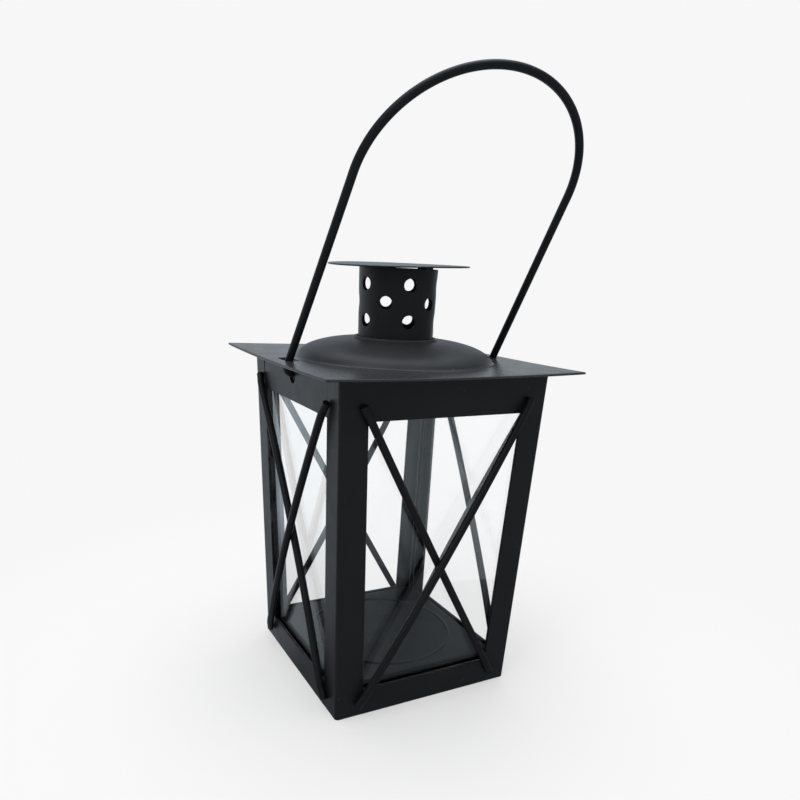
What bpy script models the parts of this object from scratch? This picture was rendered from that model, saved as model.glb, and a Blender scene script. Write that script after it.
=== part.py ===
"""Glass-sided metal lantern for one tealight, as an assembly of its real pieces.

The body is a tapered box frame: four angle posts, four top rails and four
bottom rails of thin sheet, with a glass pane behind each opening and two crossed
rods in front of it. A pressed floor pan carries the candle. A loose roof, pressed
as a flat plate with a low dome, carries a pierced chimney under a flat rain cap.
A wire bail is hooked into the top rails and passes up through slots in the roof.

Frame: metres, +Z up, origin at the centre of the base. The front face looks
along -Y and the bail's pivots lie on the line parallel to X below the roof.
The bail leans forward at rest, held by the ends of the roof slots.
"""
import math

import bmesh
import bpy
from mathutils import Matrix, Vector

# Body frame
BODY_HEIGHT = 0.107
TOP_WIDTH = 0.0757
FOOT_WIDTH = 0.0636
SHEET = 0.001
POST_FLANGE = 0.0093
POST_BEND_RADIUS = 0.0012
TOP_RAIL_HEIGHT = 0.0127
BOTTOM_RAIL_HEIGHT = 0.0085

# Gap kept between pieces that touch or are welded on the real lantern
FIT = 0.0003

# Glass panes and the clips that hold their upper edges
PANE_THICKNESS = 0.002
PANE_LAP = 0.0042
CLIP_SHEET = 0.0005
CLIP_WIDTH = 0.005
CLIP_INSET = 0.0092
CLIP_LEG = 0.0055
CLIP_LIP = 0.004

# Crossed rods in front of the panes
ROD_DIAMETER = 0.0025
ROD_TOP_INSET = 0.007
ROD_FOOT_INSET = 0.0068
ROD_TOP_DROP = 0.0076
ROD_FOOT_RISE = 0.0037
ROD_INNER_BOW = 0.0012
ROD_BOW_POINTS = 13

# Floor pan with its raised candle ring
FLOOR_HEIGHT = 0.0092
FLOOR_EDGE_RADIUS = 0.0012
RING_INSET = 0.0049
RING_BEAD_DIAMETER = 0.0013

# Roof plate with its dome
ROOF_OVERHANG = 0.00815
ROOF_SHEET = 0.0008
ROOF_CORNER_LIFT = 0.0006
ROOF_GRID = 14
DOME_DIAMETER = 0.068
DOME_HEIGHT = 0.0068
DOME_FULLNESS = 1.9
DOME_STEPS = 9
NECK_LIP_WIDTH = 0.0014
NECK_LIP_HEIGHT = 0.0006

# Chimney
CHIMNEY_TOP_DIAMETER = 0.0273
CHIMNEY_FOOT_DIAMETER = 0.0260
CHIMNEY_SHEET = 0.0008
CHIMNEY_HEIGHT = 0.0239
CHIMNEY_FLARE = 0.0016
VENT_DIAMETER = 0.0046
VENT_ROWS = 3
VENTS_PER_ROW = 5
VENT_TOP_DROP = 0.0057
VENT_ROW_PITCH = 0.0061
VENT_FIRST_ANGLE = math.radians(-10.0)

# Rain cap on the chimney's tabs
CAP_DIAMETER = 0.049
CAP_SHEET = 0.0008
TAB_COUNT = 4
TAB_HEIGHT = 0.001
TAB_WIDTH = 0.0036
TAB_FIRST_ANGLE = math.radians(21.0)

# Wire bail
WIRE_DIAMETER = 0.0026
BAIL_LEG_CLEARANCE = 0.0012
BAIL_NARROWING = 0.0025
BAIL_LEG_LENGTH = 0.0712
BAIL_ARCH_HEIGHT = 0.0368
BAIL_BEND_RADIUS = 0.0024
BAIL_LEAN = math.radians(33.5)
BAIL_HOOK_REACH = 0.0025
PIVOT_DROP = 0.0034
PIVOT_HOLE_DIAMETER = 0.005
SLOT_WIDTH = 0.0066
SLOT_END_CLEARANCE = 0.0003
SLOT_CORNER_RADIUS = 0.0014
SLOT_SHIFT = 0.0006

# Facets
ROUND_SEGMENTS = 48
TUBE_SEGMENTS = 40
VENT_SEGMENTS = 16
BEAD_SEGMENTS = 8
BEND_STEPS = 4
ARCH_STEPS = 32
WIRE_RESOLUTION = 4
MERGE = 0.00001
CUT_MARGIN = 0.001

# Sizes that follow from the ones above
TOP_HALF = TOP_WIDTH / 2
FOOT_HALF = FOOT_WIDTH / 2
LEAN = (TOP_HALF - FOOT_HALF) / BODY_HEIGHT
PANE_DEPTH = SHEET + FIT
PANE_BACK = PANE_DEPTH + PANE_THICKNESS
PANE_FOOT = SHEET + FIT
PANE_TOP = BODY_HEIGHT - TOP_RAIL_HEIGHT + PANE_LAP
ROOF_HALF = TOP_HALF + ROOF_OVERHANG
ROOF_UNDERSIDE = BODY_HEIGHT + FIT
ROOF_TOP = ROOF_UNDERSIDE + ROOF_SHEET
DOME_TOP = ROOF_TOP + DOME_HEIGHT
NECK_HOLE_RADIUS = CHIMNEY_FOOT_DIAMETER / 2 + FIT
NECK_RADIUS = NECK_HOLE_RADIUS + NECK_LIP_WIDTH
NECK_TOP = DOME_TOP + NECK_LIP_HEIGHT
CHIMNEY_RIM = NECK_TOP + CHIMNEY_HEIGHT
CAP_UNDERSIDE = CHIMNEY_RIM + TAB_HEIGHT + FIT
ROD_RADIUS = ROD_DIAMETER / 2
WIRE_RADIUS = WIRE_DIAMETER / 2
PIVOT_HEIGHT = BODY_HEIGHT - PIVOT_DROP
PIVOT_FACE = FOOT_HALF + LEAN * PIVOT_HEIGHT
BAIL_FOOT_HALF = PIVOT_FACE + BAIL_LEG_CLEARANCE + WIRE_RADIUS
BAIL_SHOULDER_HALF = BAIL_FOOT_HALF - BAIL_NARROWING
SLOT_CENTRE = BAIL_FOOT_HALF - SLOT_SHIFT

FACES = {"front": 0.0, "right": math.pi / 2, "back": math.pi, "left": -math.pi / 2}
CORNERS = {"front_left": 0.0, "front_right": math.pi / 2, "back_right": math.pi, "back_left": -math.pi / 2}


def half_width(height):
    """Half the body's outer width at a height above the base."""
    return FOOT_HALF + LEAN * height


def clear_scene():
    for old in list(bpy.data.objects):
        bpy.data.objects.remove(old, do_unlink=True)


def new_collection(name):
    collection = bpy.data.collections.new(name)
    bpy.context.scene.collection.children.link(collection)
    return collection


def finish_material(name, colour, roughness, metallic=0.0, alpha=1.0, transmission=0.0):
    material = bpy.data.materials.new(name)
    material.use_nodes = True
    shader = material.node_tree.nodes["Principled BSDF"]
    shader.inputs["Base Color"].default_value = (*colour, 1.0)
    shader.inputs["Roughness"].default_value = roughness
    shader.inputs["Metallic"].default_value = metallic
    shader.inputs["Alpha"].default_value = alpha
    shader.inputs["Transmission Weight"].default_value = transmission
    material.diffuse_color = (*colour, alpha)
    return material


def add_object(name, mesh, collection, material=None, angle=0.0):
    """Link a mesh as one named object, turned about the lantern's upright axis."""
    piece = bpy.data.objects.new(name, mesh)
    collection.objects.link(piece)
    piece.rotation_euler = (0.0, 0.0, angle)
    if material is not None:
        mesh.materials.append(material)
    return piece


def shade_round(mesh, angle=math.radians(35.0)):
    mesh.shade_smooth()
    mesh.set_sharp_from_angle(angle=angle)


def curve_to_mesh(curve, name):
    """The closed mesh of a filled or bevelled curve, with its caps welded."""
    carrier = bpy.data.objects.new(name + "_curve", curve)
    bpy.context.scene.collection.objects.link(carrier)
    bpy.context.view_layer.update()
    depsgraph = bpy.context.evaluated_depsgraph_get()
    mesh = bpy.data.meshes.new_from_object(carrier.evaluated_get(depsgraph))
    mesh.name = name
    bpy.data.objects.remove(carrier, do_unlink=True)
    bpy.data.curves.remove(curve)
    shape = bmesh.new()
    shape.from_mesh(mesh)
    bmesh.ops.remove_doubles(shape, verts=shape.verts, dist=MERGE)
    bmesh.ops.recalc_face_normals(shape, faces=shape.faces)
    shape.to_mesh(mesh)
    shape.free()
    return mesh


def outline_mesh(name, outline, thickness):
    """A flat outline in the XY plane, extruded from z = 0 up to the thickness."""
    curve = bpy.data.curves.new(name, "CURVE")
    curve.dimensions = "2D"
    curve.fill_mode = "BOTH"
    curve.extrude = thickness / 2
    spline = curve.splines.new("POLY")
    spline.points.add(len(outline) - 1)
    for point, (x, y) in zip(spline.points, outline):
        point.co = (x, y, 0.0, 1.0)
    spline.use_cyclic_u = True
    mesh = curve_to_mesh(curve, name)
    mesh.transform(Matrix.Translation((0.0, 0.0, thickness / 2)))
    return mesh


def wire_mesh(name, path, radius):
    """A round wire along a list of points, cut square and closed at both ends."""
    curve = bpy.data.curves.new(name, "CURVE")
    curve.dimensions = "3D"
    curve.bevel_depth = radius
    curve.bevel_resolution = WIRE_RESOLUTION
    curve.use_fill_caps = True
    spline = curve.splines.new("POLY")
    spline.points.add(len(path) - 1)
    for point, place in zip(spline.points, path):
        point.co = (*place, 1.0)
    mesh = curve_to_mesh(curve, name)
    shade_round(mesh)
    return mesh


def turned_object(name, profile, collection, segments, closed=True):
    """Turn a profile of (radius, height) points, which runs down its outer side."""
    mesh = bpy.data.meshes.new(name)
    points = [(radius, 0.0, height) for radius, height in profile]
    edges = [(i, i + 1) for i in range(len(points) - 1)]
    if closed:
        edges.append((len(points) - 1, 0))
    mesh.from_pydata(points, edges, [])
    piece = add_object(name, mesh, collection)
    screw = piece.modifiers.new("Turn", "SCREW")
    screw.steps = segments
    screw.render_steps = segments
    screw.use_merge_vertices = True
    screw.merge_threshold = MERGE
    screw.use_smooth_shade = True
    return piece


def cylinder_cutter(name, radius, depth, segments, place):
    """A cylinder along its own Z, moved by the matrix to where it cuts."""
    mesh = bpy.data.meshes.new(name)
    shape = bmesh.new()
    bmesh.ops.create_cone(shape, cap_ends=True, segments=segments,
                          radius1=radius, radius2=radius, depth=depth)
    shape.to_mesh(mesh)
    shape.free()
    mesh.transform(place)
    return mesh


def cut(piece, cutter, operation="DIFFERENCE"):
    """Cut a piece with another object, or join it on, by an exact Boolean."""
    modifier = piece.modifiers.new(operation.title(), "BOOLEAN")
    modifier.operation = operation
    modifier.solver = "EXACT"
    modifier.object = cutter
    cutter.hide_render = True
    cutter.display_type = "WIRE"
    return modifier


def face_place(depth):
    """Lay an XY outline, extruded along Z, on the leaning front face.

    The outline's X runs along the face and its Y is the height. The extrusion
    runs outwards from the given depth behind the outer face.
    """
    return Matrix((
        (1.0, 0.0, 0.0, 0.0),
        (0.0, -LEAN, -1.0, depth - FOOT_HALF),
        (0.0, 1.0, 0.0, 0.0),
        (0.0, 0.0, 0.0, 1.0),
    ))


def on_face(x, depth, height):
    """A point at a depth behind the leaning front face."""
    return Vector((x, depth - half_width(height), height))


def level_trapezoid(low, high, margin):
    """The outline of a sheet between two heights, a margin inside the body's sides."""
    low_half = half_width(low) - margin
    high_half = half_width(high) - margin
    return [(-low_half, low), (low_half, low), (high_half, high), (-high_half, high)]


def post_mesh(name):
    """An angle post for the front left corner: a bent L section that leans inwards."""
    flange = POST_FLANGE
    outer = POST_BEND_RADIUS
    bend = []
    for step in range(BEND_STEPS + 1):
        turn = math.pi + step * (math.pi / 2) / BEND_STEPS
        bend.append((outer + outer * math.cos(turn), outer + outer * math.sin(turn)))
    section = [(0.0, flange)] + bend + [(flange, 0.0), (flange, SHEET), (SHEET, SHEET), (SHEET, flange)]
    mesh = outline_mesh(name, section, BODY_HEIGHT)
    mesh.transform(Matrix((
        (1.0, 0.0, -LEAN, -FOOT_HALF),
        (0.0, 1.0, -LEAN, -FOOT_HALF),
        (0.0, 0.0, 1.0, 0.0),
        (0.0, 0.0, 0.0, 1.0),
    )))
    return mesh


def build_posts(collection, material):
    for corner, angle in CORNERS.items():
        name = "corner_post_" + corner
        add_object(name, post_mesh(name), collection, material, angle)


def rail_mesh(name, low, high):
    mesh = outline_mesh(name, level_trapezoid(low, high, POST_FLANGE + FIT), SHEET)
    mesh.transform(face_place(SHEET))
    return mesh


def build_rails(collection, cutters, material):
    """Top and bottom rails between the posts, with the bail's holes in two of them."""
    drop = PIVOT_HOLE_DIAMETER / 2 - WIRE_RADIUS - FIT
    centre = on_face(0.0, SHEET / 2, PIVOT_HEIGHT - drop)
    place = Matrix.Translation(centre) @ Matrix.Rotation(math.pi / 2, 4, "X")
    for face, angle in FACES.items():
        low_name = "bottom_rail_" + face
        add_object(low_name, rail_mesh(low_name, 0.0, BOTTOM_RAIL_HEIGHT), collection, material, angle)
        top_name = "top_rail_" + face
        top = add_object(top_name, rail_mesh(top_name, BODY_HEIGHT - TOP_RAIL_HEIGHT, BODY_HEIGHT),
                         collection, material, angle)
        if face in ("left", "right"):
            hole = cylinder_cutter("pivot_hole_" + face, PIVOT_HOLE_DIAMETER / 2, SHEET + 2 * CUT_MARGIN,
                                   VENT_SEGMENTS, place)
            cut(top, add_object("pivot_hole_" + face, hole, cutters, angle=angle))


def build_panes(collection, material):
    """Four panes, each standing on the floor pan's foot behind the frame."""
    margin = PANE_BACK + FIT
    for face, angle in FACES.items():
        name = "glass_pane_" + face
        mesh = outline_mesh(name, level_trapezoid(PANE_FOOT, PANE_TOP, margin), PANE_THICKNESS)
        mesh.transform(face_place(PANE_BACK))
        add_object(name, mesh, collection, material, angle)


def build_clips(collection, material):
    """Bent clips on the top rails, which reach over each pane's upper edge."""
    inner = PANE_BACK + FIT
    seat = PANE_TOP + FIT
    # section as (depth behind the face, height)
    section = [
        (PANE_DEPTH, seat),
        (inner, seat),
        (inner, PANE_TOP - CLIP_LIP),
        (inner + CLIP_SHEET, PANE_TOP - CLIP_LIP),
        (inner + CLIP_SHEET, seat + CLIP_SHEET),
        (PANE_DEPTH + CLIP_SHEET, seat + CLIP_SHEET),
        (PANE_DEPTH + CLIP_SHEET, seat + CLIP_LEG),
        (PANE_DEPTH, seat + CLIP_LEG),
    ]
    for face, angle in FACES.items():
        for side, sign in (("left", -1.0), ("right", 1.0)):
            name = f"pane_clip_{face}_{side}"
            mesh = outline_mesh(name, section, CLIP_WIDTH)
            start = sign * (half_width(PANE_TOP) - POST_FLANGE - CLIP_INSET) - CLIP_WIDTH / 2
            mesh.transform(Matrix((
                (0.0, 0.0, 1.0, start),
                (1.0, -LEAN, 0.0, -FOOT_HALF),
                (0.0, 1.0, 0.0, 0.0),
                (0.0, 0.0, 0.0, 1.0),
            )))
            add_object(name, mesh, collection, material, angle)


def rod_path(slope, outer):
    """A rod's centre line on the front face, from its upper to its lower end.

    slope is -1 for a rod that falls from left to right and 1 for one that rises.
    Both press on the frame at their ends. Where they cross, the outer rod bows
    forwards and the inner one bows back into the opening, so that they clear.
    """
    top = BODY_HEIGHT - ROD_TOP_DROP
    foot = ROD_FOOT_RISE
    top_x = slope * (half_width(top) - ROD_TOP_INSET)
    foot_x = -slope * (half_width(foot) - ROD_FOOT_INSET)
    seat = -(ROD_RADIUS + FIT)
    crossing = top_x / (top_x - foot_x)
    rise = ROD_DIAMETER + FIT - ROD_INNER_BOW if outer else -ROD_INNER_BOW
    path = []
    for step in range(ROD_BOW_POINTS):
        share = step / (ROD_BOW_POINTS - 1)
        reach = crossing if share < crossing else 1.0 - crossing
        bow = 1.0 - ((share - crossing) / reach) ** 2
        x = top_x + share * (foot_x - top_x)
        height = top + share * (foot - top)
        path.append(on_face(x, seat - rise * bow, height))
    return path


def build_rods(collection, material):
    for face, angle in FACES.items():
        for label, slope in (("falling", -1), ("rising", 1)):
            name = f"cross_rod_{face}_{label}"
            mesh = wire_mesh(name, rod_path(slope, slope > 0), ROD_RADIUS)
            add_object(name, mesh, collection, material, angle)


def square_block(name, low_half, high_half, low, high, collection, rounding=0.0):
    """A block with square ends of two sizes, its upper and upright edges rounded."""
    mesh = bpy.data.meshes.new(name)
    shape = bmesh.new()
    bmesh.ops.create_cube(shape, size=2.0)
    for vert in shape.verts:
        half, height = (high_half, high) if vert.co.z > 0.0 else (low_half, low)
        vert.co = Vector((vert.co.x * half, vert.co.y * half, height))
    if rounding > 0.0:
        edges = [edge for edge in shape.edges if max(vert.co.z for vert in edge.verts) > (low + high) / 2]
        bmesh.ops.bevel(shape, geom=edges, offset=rounding, segments=2, profile=0.5, affect="EDGES")
    shape.to_mesh(mesh)
    shape.free()
    return add_object(name, mesh, collection)


def build_floor(collection, cutters, material):
    """The pressed floor: a raised pan with a skirt, a foot all round and a candle ring."""
    inset = PANE_BACK + FIT
    pan_low = half_width(0.0) - inset
    pan_high = half_width(FLOOR_HEIGHT) - inset
    foot_half = half_width(0.0) - SHEET - FIT
    floor = square_block("floor_pan", pan_low, pan_high, 0.0, FLOOR_HEIGHT, collection, FLOOR_EDGE_RADIUS)
    foot = square_block("pan_foot", foot_half, foot_half, 0.0, SHEET, cutters)
    hollow = square_block("pan_hollow", pan_low - SHEET - LEAN * CUT_MARGIN, pan_high - SHEET,
                          -CUT_MARGIN, FLOOR_HEIGHT - SHEET, cutters, FLOOR_EDGE_RADIUS / 2)
    bead_radius = RING_BEAD_DIAMETER / 2
    ring_radius = pan_high - RING_INSET
    profile = []
    for step in range(BEAD_SEGMENTS):
        turn = math.pi / 2 - 2 * math.pi * step / BEAD_SEGMENTS
        out = bead_radius * math.cos(turn)
        up = bead_radius * math.sin(turn)
        profile.append((ring_radius + out, FLOOR_HEIGHT + up))
    bead = turned_object("ring_bead", profile, cutters, ROUND_SEGMENTS)
    cut(floor, foot, "UNION")
    cut(floor, hollow)
    cut(floor, bead, "UNION")
    floor.data.materials.append(material)


def dome_profile(base_radius, base, height, top_radius, bottom):
    """The dome's side from its top edge down to its rim: a quarter of a rounded oval."""
    points = []
    for step in range(DOME_STEPS + 1):
        angle = (math.pi / 2) * (1.0 - step / DOME_STEPS)
        out = max(math.cos(angle), 0.0) ** (2.0 / DOME_FULLNESS)
        up = math.sin(angle) ** (2.0 / DOME_FULLNESS)
        points.append((top_radius + (base_radius - top_radius) * out, base + height * up))
    points.append((base_radius, bottom))
    return points


def slot_cutter(name, sign, collection):
    """A slot with rounded corners, just long enough for the bail's leg at either lean."""
    rise = ROOF_TOP - PIVOT_HEIGHT
    reach = rise * math.tan(BAIL_LEAN) + WIRE_RADIUS / math.cos(BAIL_LEAN) + SLOT_END_CLEARANCE
    mesh = bpy.data.meshes.new(name)
    shape = bmesh.new()
    bmesh.ops.create_cube(shape, size=1.0)
    bmesh.ops.scale(shape, vec=(SLOT_WIDTH, 2 * reach, ROOF_SHEET + 2 * CUT_MARGIN), verts=shape.verts)
    upright = [edge for edge in shape.edges if abs(edge.verts[0].co.z - edge.verts[1].co.z) > ROOF_SHEET]
    bmesh.ops.bevel(shape, geom=upright, offset=SLOT_CORNER_RADIUS, segments=BEND_STEPS,
                    profile=0.5, affect="EDGES")
    place = (sign * SLOT_CENTRE, 0.0, ROOF_UNDERSIDE + ROOF_SHEET / 2)
    bmesh.ops.translate(shape, vec=place, verts=shape.verts)
    shape.to_mesh(mesh)
    shape.free()
    return add_object(name, mesh, collection)


def build_roof(collection, cutters, material):
    """The roof plate with turned-up corners, its pressed dome and the bail's slots."""
    mesh = bpy.data.meshes.new("roof_plate")
    shape = bmesh.new()
    bmesh.ops.create_grid(shape, x_segments=ROOF_GRID, y_segments=ROOF_GRID, size=ROOF_HALF)
    for vert in shape.verts:
        lift = (vert.co.x * vert.co.y / ROOF_HALF ** 2) ** 2
        vert.co.z = ROOF_TOP + ROOF_CORNER_LIFT * lift
    shape.to_mesh(mesh)
    shape.free()
    roof = add_object("roof_plate", mesh, collection, material)
    wall = roof.modifiers.new("Sheet", "SOLIDIFY")
    wall.thickness = ROOF_SHEET
    wall.offset = -1.0

    radius = DOME_DIAMETER / 2
    middle = ROOF_TOP - ROOF_SHEET / 2
    outer = [(0.0, NECK_TOP), (NECK_RADIUS, NECK_TOP)]
    outer += dome_profile(radius, ROOF_TOP, DOME_HEIGHT, NECK_RADIUS, middle)
    outer += [(0.0, middle)]
    dome = turned_object("dome_outside", outer, cutters, ROUND_SEGMENTS, closed=False)
    below = ROOF_UNDERSIDE - CUT_MARGIN
    inner = [(0.0, DOME_TOP - ROOF_SHEET)]
    inner += dome_profile(radius - ROOF_SHEET, ROOF_UNDERSIDE, DOME_HEIGHT, NECK_RADIUS, below)
    inner += [(0.0, below)]
    hollow = turned_object("dome_inside", inner, cutters, ROUND_SEGMENTS, closed=False)
    neck = cylinder_cutter("neck_hole", NECK_HOLE_RADIUS, DOME_HEIGHT * 2, TUBE_SEGMENTS,
                           Matrix.Translation((0.0, 0.0, NECK_TOP)))
    cut(roof, dome, "UNION")
    cut(roof, hollow)
    cut(roof, add_object("neck_hole", neck, cutters))
    for name, sign in (("slot_left", -1.0), ("slot_right", 1.0)):
        cut(roof, slot_cutter(name, sign, cutters))
    shade_round(mesh)


def chimney_radius(height):
    """The chimney's outer radius, which grows a little from the neck to the rim."""
    share = (height - NECK_TOP) / CHIMNEY_HEIGHT
    foot = CHIMNEY_FOOT_DIAMETER / 2
    return foot + (CHIMNEY_TOP_DIAMETER / 2 - foot) * max(share, 0.0)


def build_chimney(collection, cutters, material):
    """The pierced chimney: a flared foot under the neck, rows of vents, tabs on its rim."""
    flare_top = DOME_TOP - ROOF_SHEET - FIT
    flare_low = flare_top - CHIMNEY_SHEET
    foot = CHIMNEY_FOOT_DIAMETER / 2
    rim = CHIMNEY_TOP_DIAMETER / 2
    profile = [
        (rim, CHIMNEY_RIM),
        (foot, NECK_TOP),
        (foot, flare_top),
        (NECK_HOLE_RADIUS + CHIMNEY_FLARE, flare_top),
        (NECK_HOLE_RADIUS + CHIMNEY_FLARE, flare_low),
        (foot - CHIMNEY_SHEET, flare_low),
        (foot - CHIMNEY_SHEET, NECK_TOP),
        (rim - CHIMNEY_SHEET, CHIMNEY_RIM),
    ]
    chimney = turned_object("chimney", profile, collection, TUBE_SEGMENTS)
    chimney.data.materials.append(material)
    for index in range(TAB_COUNT):
        angle = TAB_FIRST_ANGLE + 2 * math.pi * index / TAB_COUNT
        name = f"rim_tab_{index + 1}"
        half = TAB_WIDTH / 2
        outline = [(-half, -TAB_HEIGHT), (half, -TAB_HEIGHT), (half, TAB_HEIGHT), (-half, TAB_HEIGHT)]
        mesh = outline_mesh(name, outline, CHIMNEY_SHEET / 2)
        depth = -rim + CHIMNEY_SHEET * 0.75
        mesh.transform(Matrix.Translation((0.0, depth, CHIMNEY_RIM)) @ Matrix.Rotation(math.pi / 2, 4, "X"))
        cut(chimney, add_object(name, mesh, cutters, angle=angle), "UNION")
    for row in range(VENT_ROWS):
        height = CHIMNEY_RIM - VENT_TOP_DROP - row * VENT_ROW_PITCH
        shift = (row % 2) * math.pi / VENTS_PER_ROW
        for index in range(VENTS_PER_ROW):
            angle = VENT_FIRST_ANGLE + shift + 2 * math.pi * index / VENTS_PER_ROW
            middle = -(chimney_radius(height) - CHIMNEY_SHEET / 2)
            place = Matrix.Translation((0.0, middle, height)) @ Matrix.Rotation(math.pi / 2, 4, "X")
            name = f"vent_{row + 1}_{index + 1}"
            mesh = cylinder_cutter(name, VENT_DIAMETER / 2, CHIMNEY_SHEET * 5, VENT_SEGMENTS, place)
            cut(chimney, add_object(name, mesh, cutters, angle=angle))


def build_cap(collection, material):
    """The flat rain cap, resting on the chimney's tabs."""
    mesh = cylinder_cutter("rain_cap", CAP_DIAMETER / 2, CAP_SHEET, ROUND_SEGMENTS,
                           Matrix.Translation((0.0, 0.0, CAP_UNDERSIDE + CAP_SHEET / 2)))
    shade_round(mesh)
    add_object("rain_cap", mesh, collection, material)


def bail_side():
    """The left half of the bail's centre line, in its own plane, from hook to crown."""
    foot = -BAIL_FOOT_HALF
    tip = -(PIVOT_FACE - SHEET - BAIL_HOOK_REACH)
    points = [(tip, 0.0)]
    for step in range(BEND_STEPS + 1):
        angle = -math.pi / 2 - step * (math.pi / 2) / BEND_STEPS
        points.append((foot + BAIL_BEND_RADIUS * (1.0 + math.cos(angle)),
                       BAIL_BEND_RADIUS * (1.0 + math.sin(angle))))
    for step in range(ARCH_STEPS // 2 + 1):
        angle = math.pi - step * math.pi / ARCH_STEPS
        rise = BAIL_LEG_LENGTH + BAIL_ARCH_HEIGHT * math.sin(angle)
        points.append((BAIL_SHOULDER_HALF * math.cos(angle), rise))
    return points


def build_bail(collection, material):
    """The wire bail, with its origin on the line through both pivot holes."""
    side = bail_side()
    outline = side + [(-u, v) for u, v in reversed(side[:-1])]
    mesh = wire_mesh("bail", [(u, 0.0, v) for u, v in outline], WIRE_RADIUS)
    bail = add_object("bail", mesh, collection, material)
    bail.location = (0.0, 0.0, PIVOT_HEIGHT)
    bail.rotation_euler = (BAIL_LEAN, 0.0, 0.0)


def main():
    clear_scene()
    parts = new_collection("glass_lantern")
    cutters = new_collection("cutters")
    frame_black = finish_material("frame_black", (0.030, 0.031, 0.034), 0.42)
    rod_black = finish_material("rod_black", (0.026, 0.026, 0.028), 0.36)
    floor_black = finish_material("floor_black", (0.040, 0.042, 0.045), 0.38)
    roof_black = finish_material("roof_black", (0.032, 0.033, 0.036), 0.34)
    chimney_black = finish_material("chimney_black", (0.028, 0.029, 0.032), 0.40)
    cap_black = finish_material("cap_black", (0.030, 0.030, 0.033), 0.38)
    wire_black = finish_material("wire_black", (0.020, 0.020, 0.022), 0.34)
    clip_steel = finish_material("clip_steel", (0.33, 0.34, 0.35), 0.38, metallic=1.0)
    glass = finish_material("pane_glass", (0.92, 0.95, 0.95), 0.03, alpha=0.35, transmission=1.0)

    build_posts(parts, frame_black)
    build_rails(parts, cutters, frame_black)
    build_panes(parts, glass)
    build_clips(parts, clip_steel)
    build_rods(parts, rod_black)
    build_floor(parts, cutters, floor_black)
    build_roof(parts, cutters, roof_black)
    build_chimney(parts, cutters, chimney_black)
    build_cap(parts, cap_black)
    build_bail(parts, wire_black)
    bpy.context.view_layer.update()


main()
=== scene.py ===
"""Dressed model of a glass-sided metal lantern for one tealight.

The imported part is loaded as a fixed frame. Each sub-assembly below is a class that
holds its sizes in metres, works its surfaces out as whole arrays and gives them
their finish. Frame: +Z up, the front face looks along -Y, and the origin is the
centre of the base.
"""

import logging
import math
from dataclasses import dataclass, field, replace
from enum import Enum
from functools import lru_cache
from typing import Callable, Iterator

import bmesh
import bpy
import numpy as np
from mathutils import Matrix


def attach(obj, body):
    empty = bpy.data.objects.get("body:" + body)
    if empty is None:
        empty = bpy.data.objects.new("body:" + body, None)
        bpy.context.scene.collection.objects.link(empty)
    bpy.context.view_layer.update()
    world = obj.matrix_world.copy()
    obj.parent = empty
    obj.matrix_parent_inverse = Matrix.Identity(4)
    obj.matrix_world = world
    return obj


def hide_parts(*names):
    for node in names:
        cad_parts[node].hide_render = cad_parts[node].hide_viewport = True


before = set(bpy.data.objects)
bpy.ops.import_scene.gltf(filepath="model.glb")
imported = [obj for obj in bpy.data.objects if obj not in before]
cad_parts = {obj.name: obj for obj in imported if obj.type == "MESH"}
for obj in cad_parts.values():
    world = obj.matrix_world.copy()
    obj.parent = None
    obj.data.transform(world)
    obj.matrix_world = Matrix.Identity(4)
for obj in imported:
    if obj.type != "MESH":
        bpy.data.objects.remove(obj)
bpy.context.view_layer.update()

LOG = logging.getLogger("lantern")
Array = np.ndarray
Socket = bpy.types.NodeSocket
Triple = tuple[float, float, float]
Placing = Callable[[Array, Array, Array], Array]
Sockets = dict[str, Socket]
Values = dict[str | int, object]
QUARTER = np.pi / 2
# Metres: how near points are welded, the guard beside an edge, how far wear reaches in
WELD_REACH = 0.0000015
GUARD = 0.0001
WEAR_REACH = 0.0005
RIM_WEAR_REACH = 0.0006
# The power of sine and cosine that makes a rounding squarish
SQUARISH = 0.7
# Points round an end, a cut edge and a half circle, and the fewest along a softened line
END_STEPS = 6
EDGE_STEPS = 9
ROUND_STEPS = 7
FEWEST_POINTS = 8
# How many of its reaches a bell is weighed over
BELL_SPAN = 2.5
# Paint: scale and share of the finer peel, scale of the gloss against the tones
FINE_PEEL = 4.3
FINE_SHARE = 0.35
FINE_GLOSS = 3.7
# Nearness times noise at which wear starts, less its amount, and how softly; specks per metre
WEAR_START = 1.45
WEAR_FADE = 0.45
SPECK_SCALE = 520.0


class Body(str, Enum):
    """The bodies that move against each other."""

    LANTERN = "lantern"
    ROOF = "roof"
    BAIL = "bail"


class Spot(Enum):
    """A spot round the box frame. Its value is its turn in degrees from the first one."""

    @property
    def label(self) -> str:
        """The spot's words in a piece's name."""
        return self.name.lower()

    @property
    def turn(self) -> float:
        """The turn about the upright axis, in radians."""
        return math.radians(self.value)


class Face(Spot):
    """A side of the box frame."""

    FRONT = 0.0
    RIGHT = 90.0
    BACK = 180.0
    LEFT = -90.0


class Corner(Spot):
    """A corner of the box frame."""

    FRONT_LEFT = 0.0
    FRONT_RIGHT = 90.0
    BACK_RIGHT = 180.0
    BACK_LEFT = -90.0


class Slope(Enum):
    """Which way a crossed rod runs, seen from outside: minus one if its upper end is on the left."""

    FALLING = -1.0
    RISING = 1.0


# Surfaces as whole arrays


def joined(*parts: Array | float) -> Array:
    """Coordinates side by side as points: all are spread to one shape, and the new axis is the last."""
    return np.stack(np.broadcast_arrays(*parts), axis=-1)


def paced(count: int) -> Array:
    """Numbers from 0 to 1, closer at both ends: half of one minus the cosine of an even turn."""
    return (1.0 - np.cos(np.linspace(0.0, np.pi, count))) / 2.0


def full_turn(count: int) -> Array:
    """Even angles once round, in radians, from zero."""
    return np.arange(count) * 2.0 * np.pi / count


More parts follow.
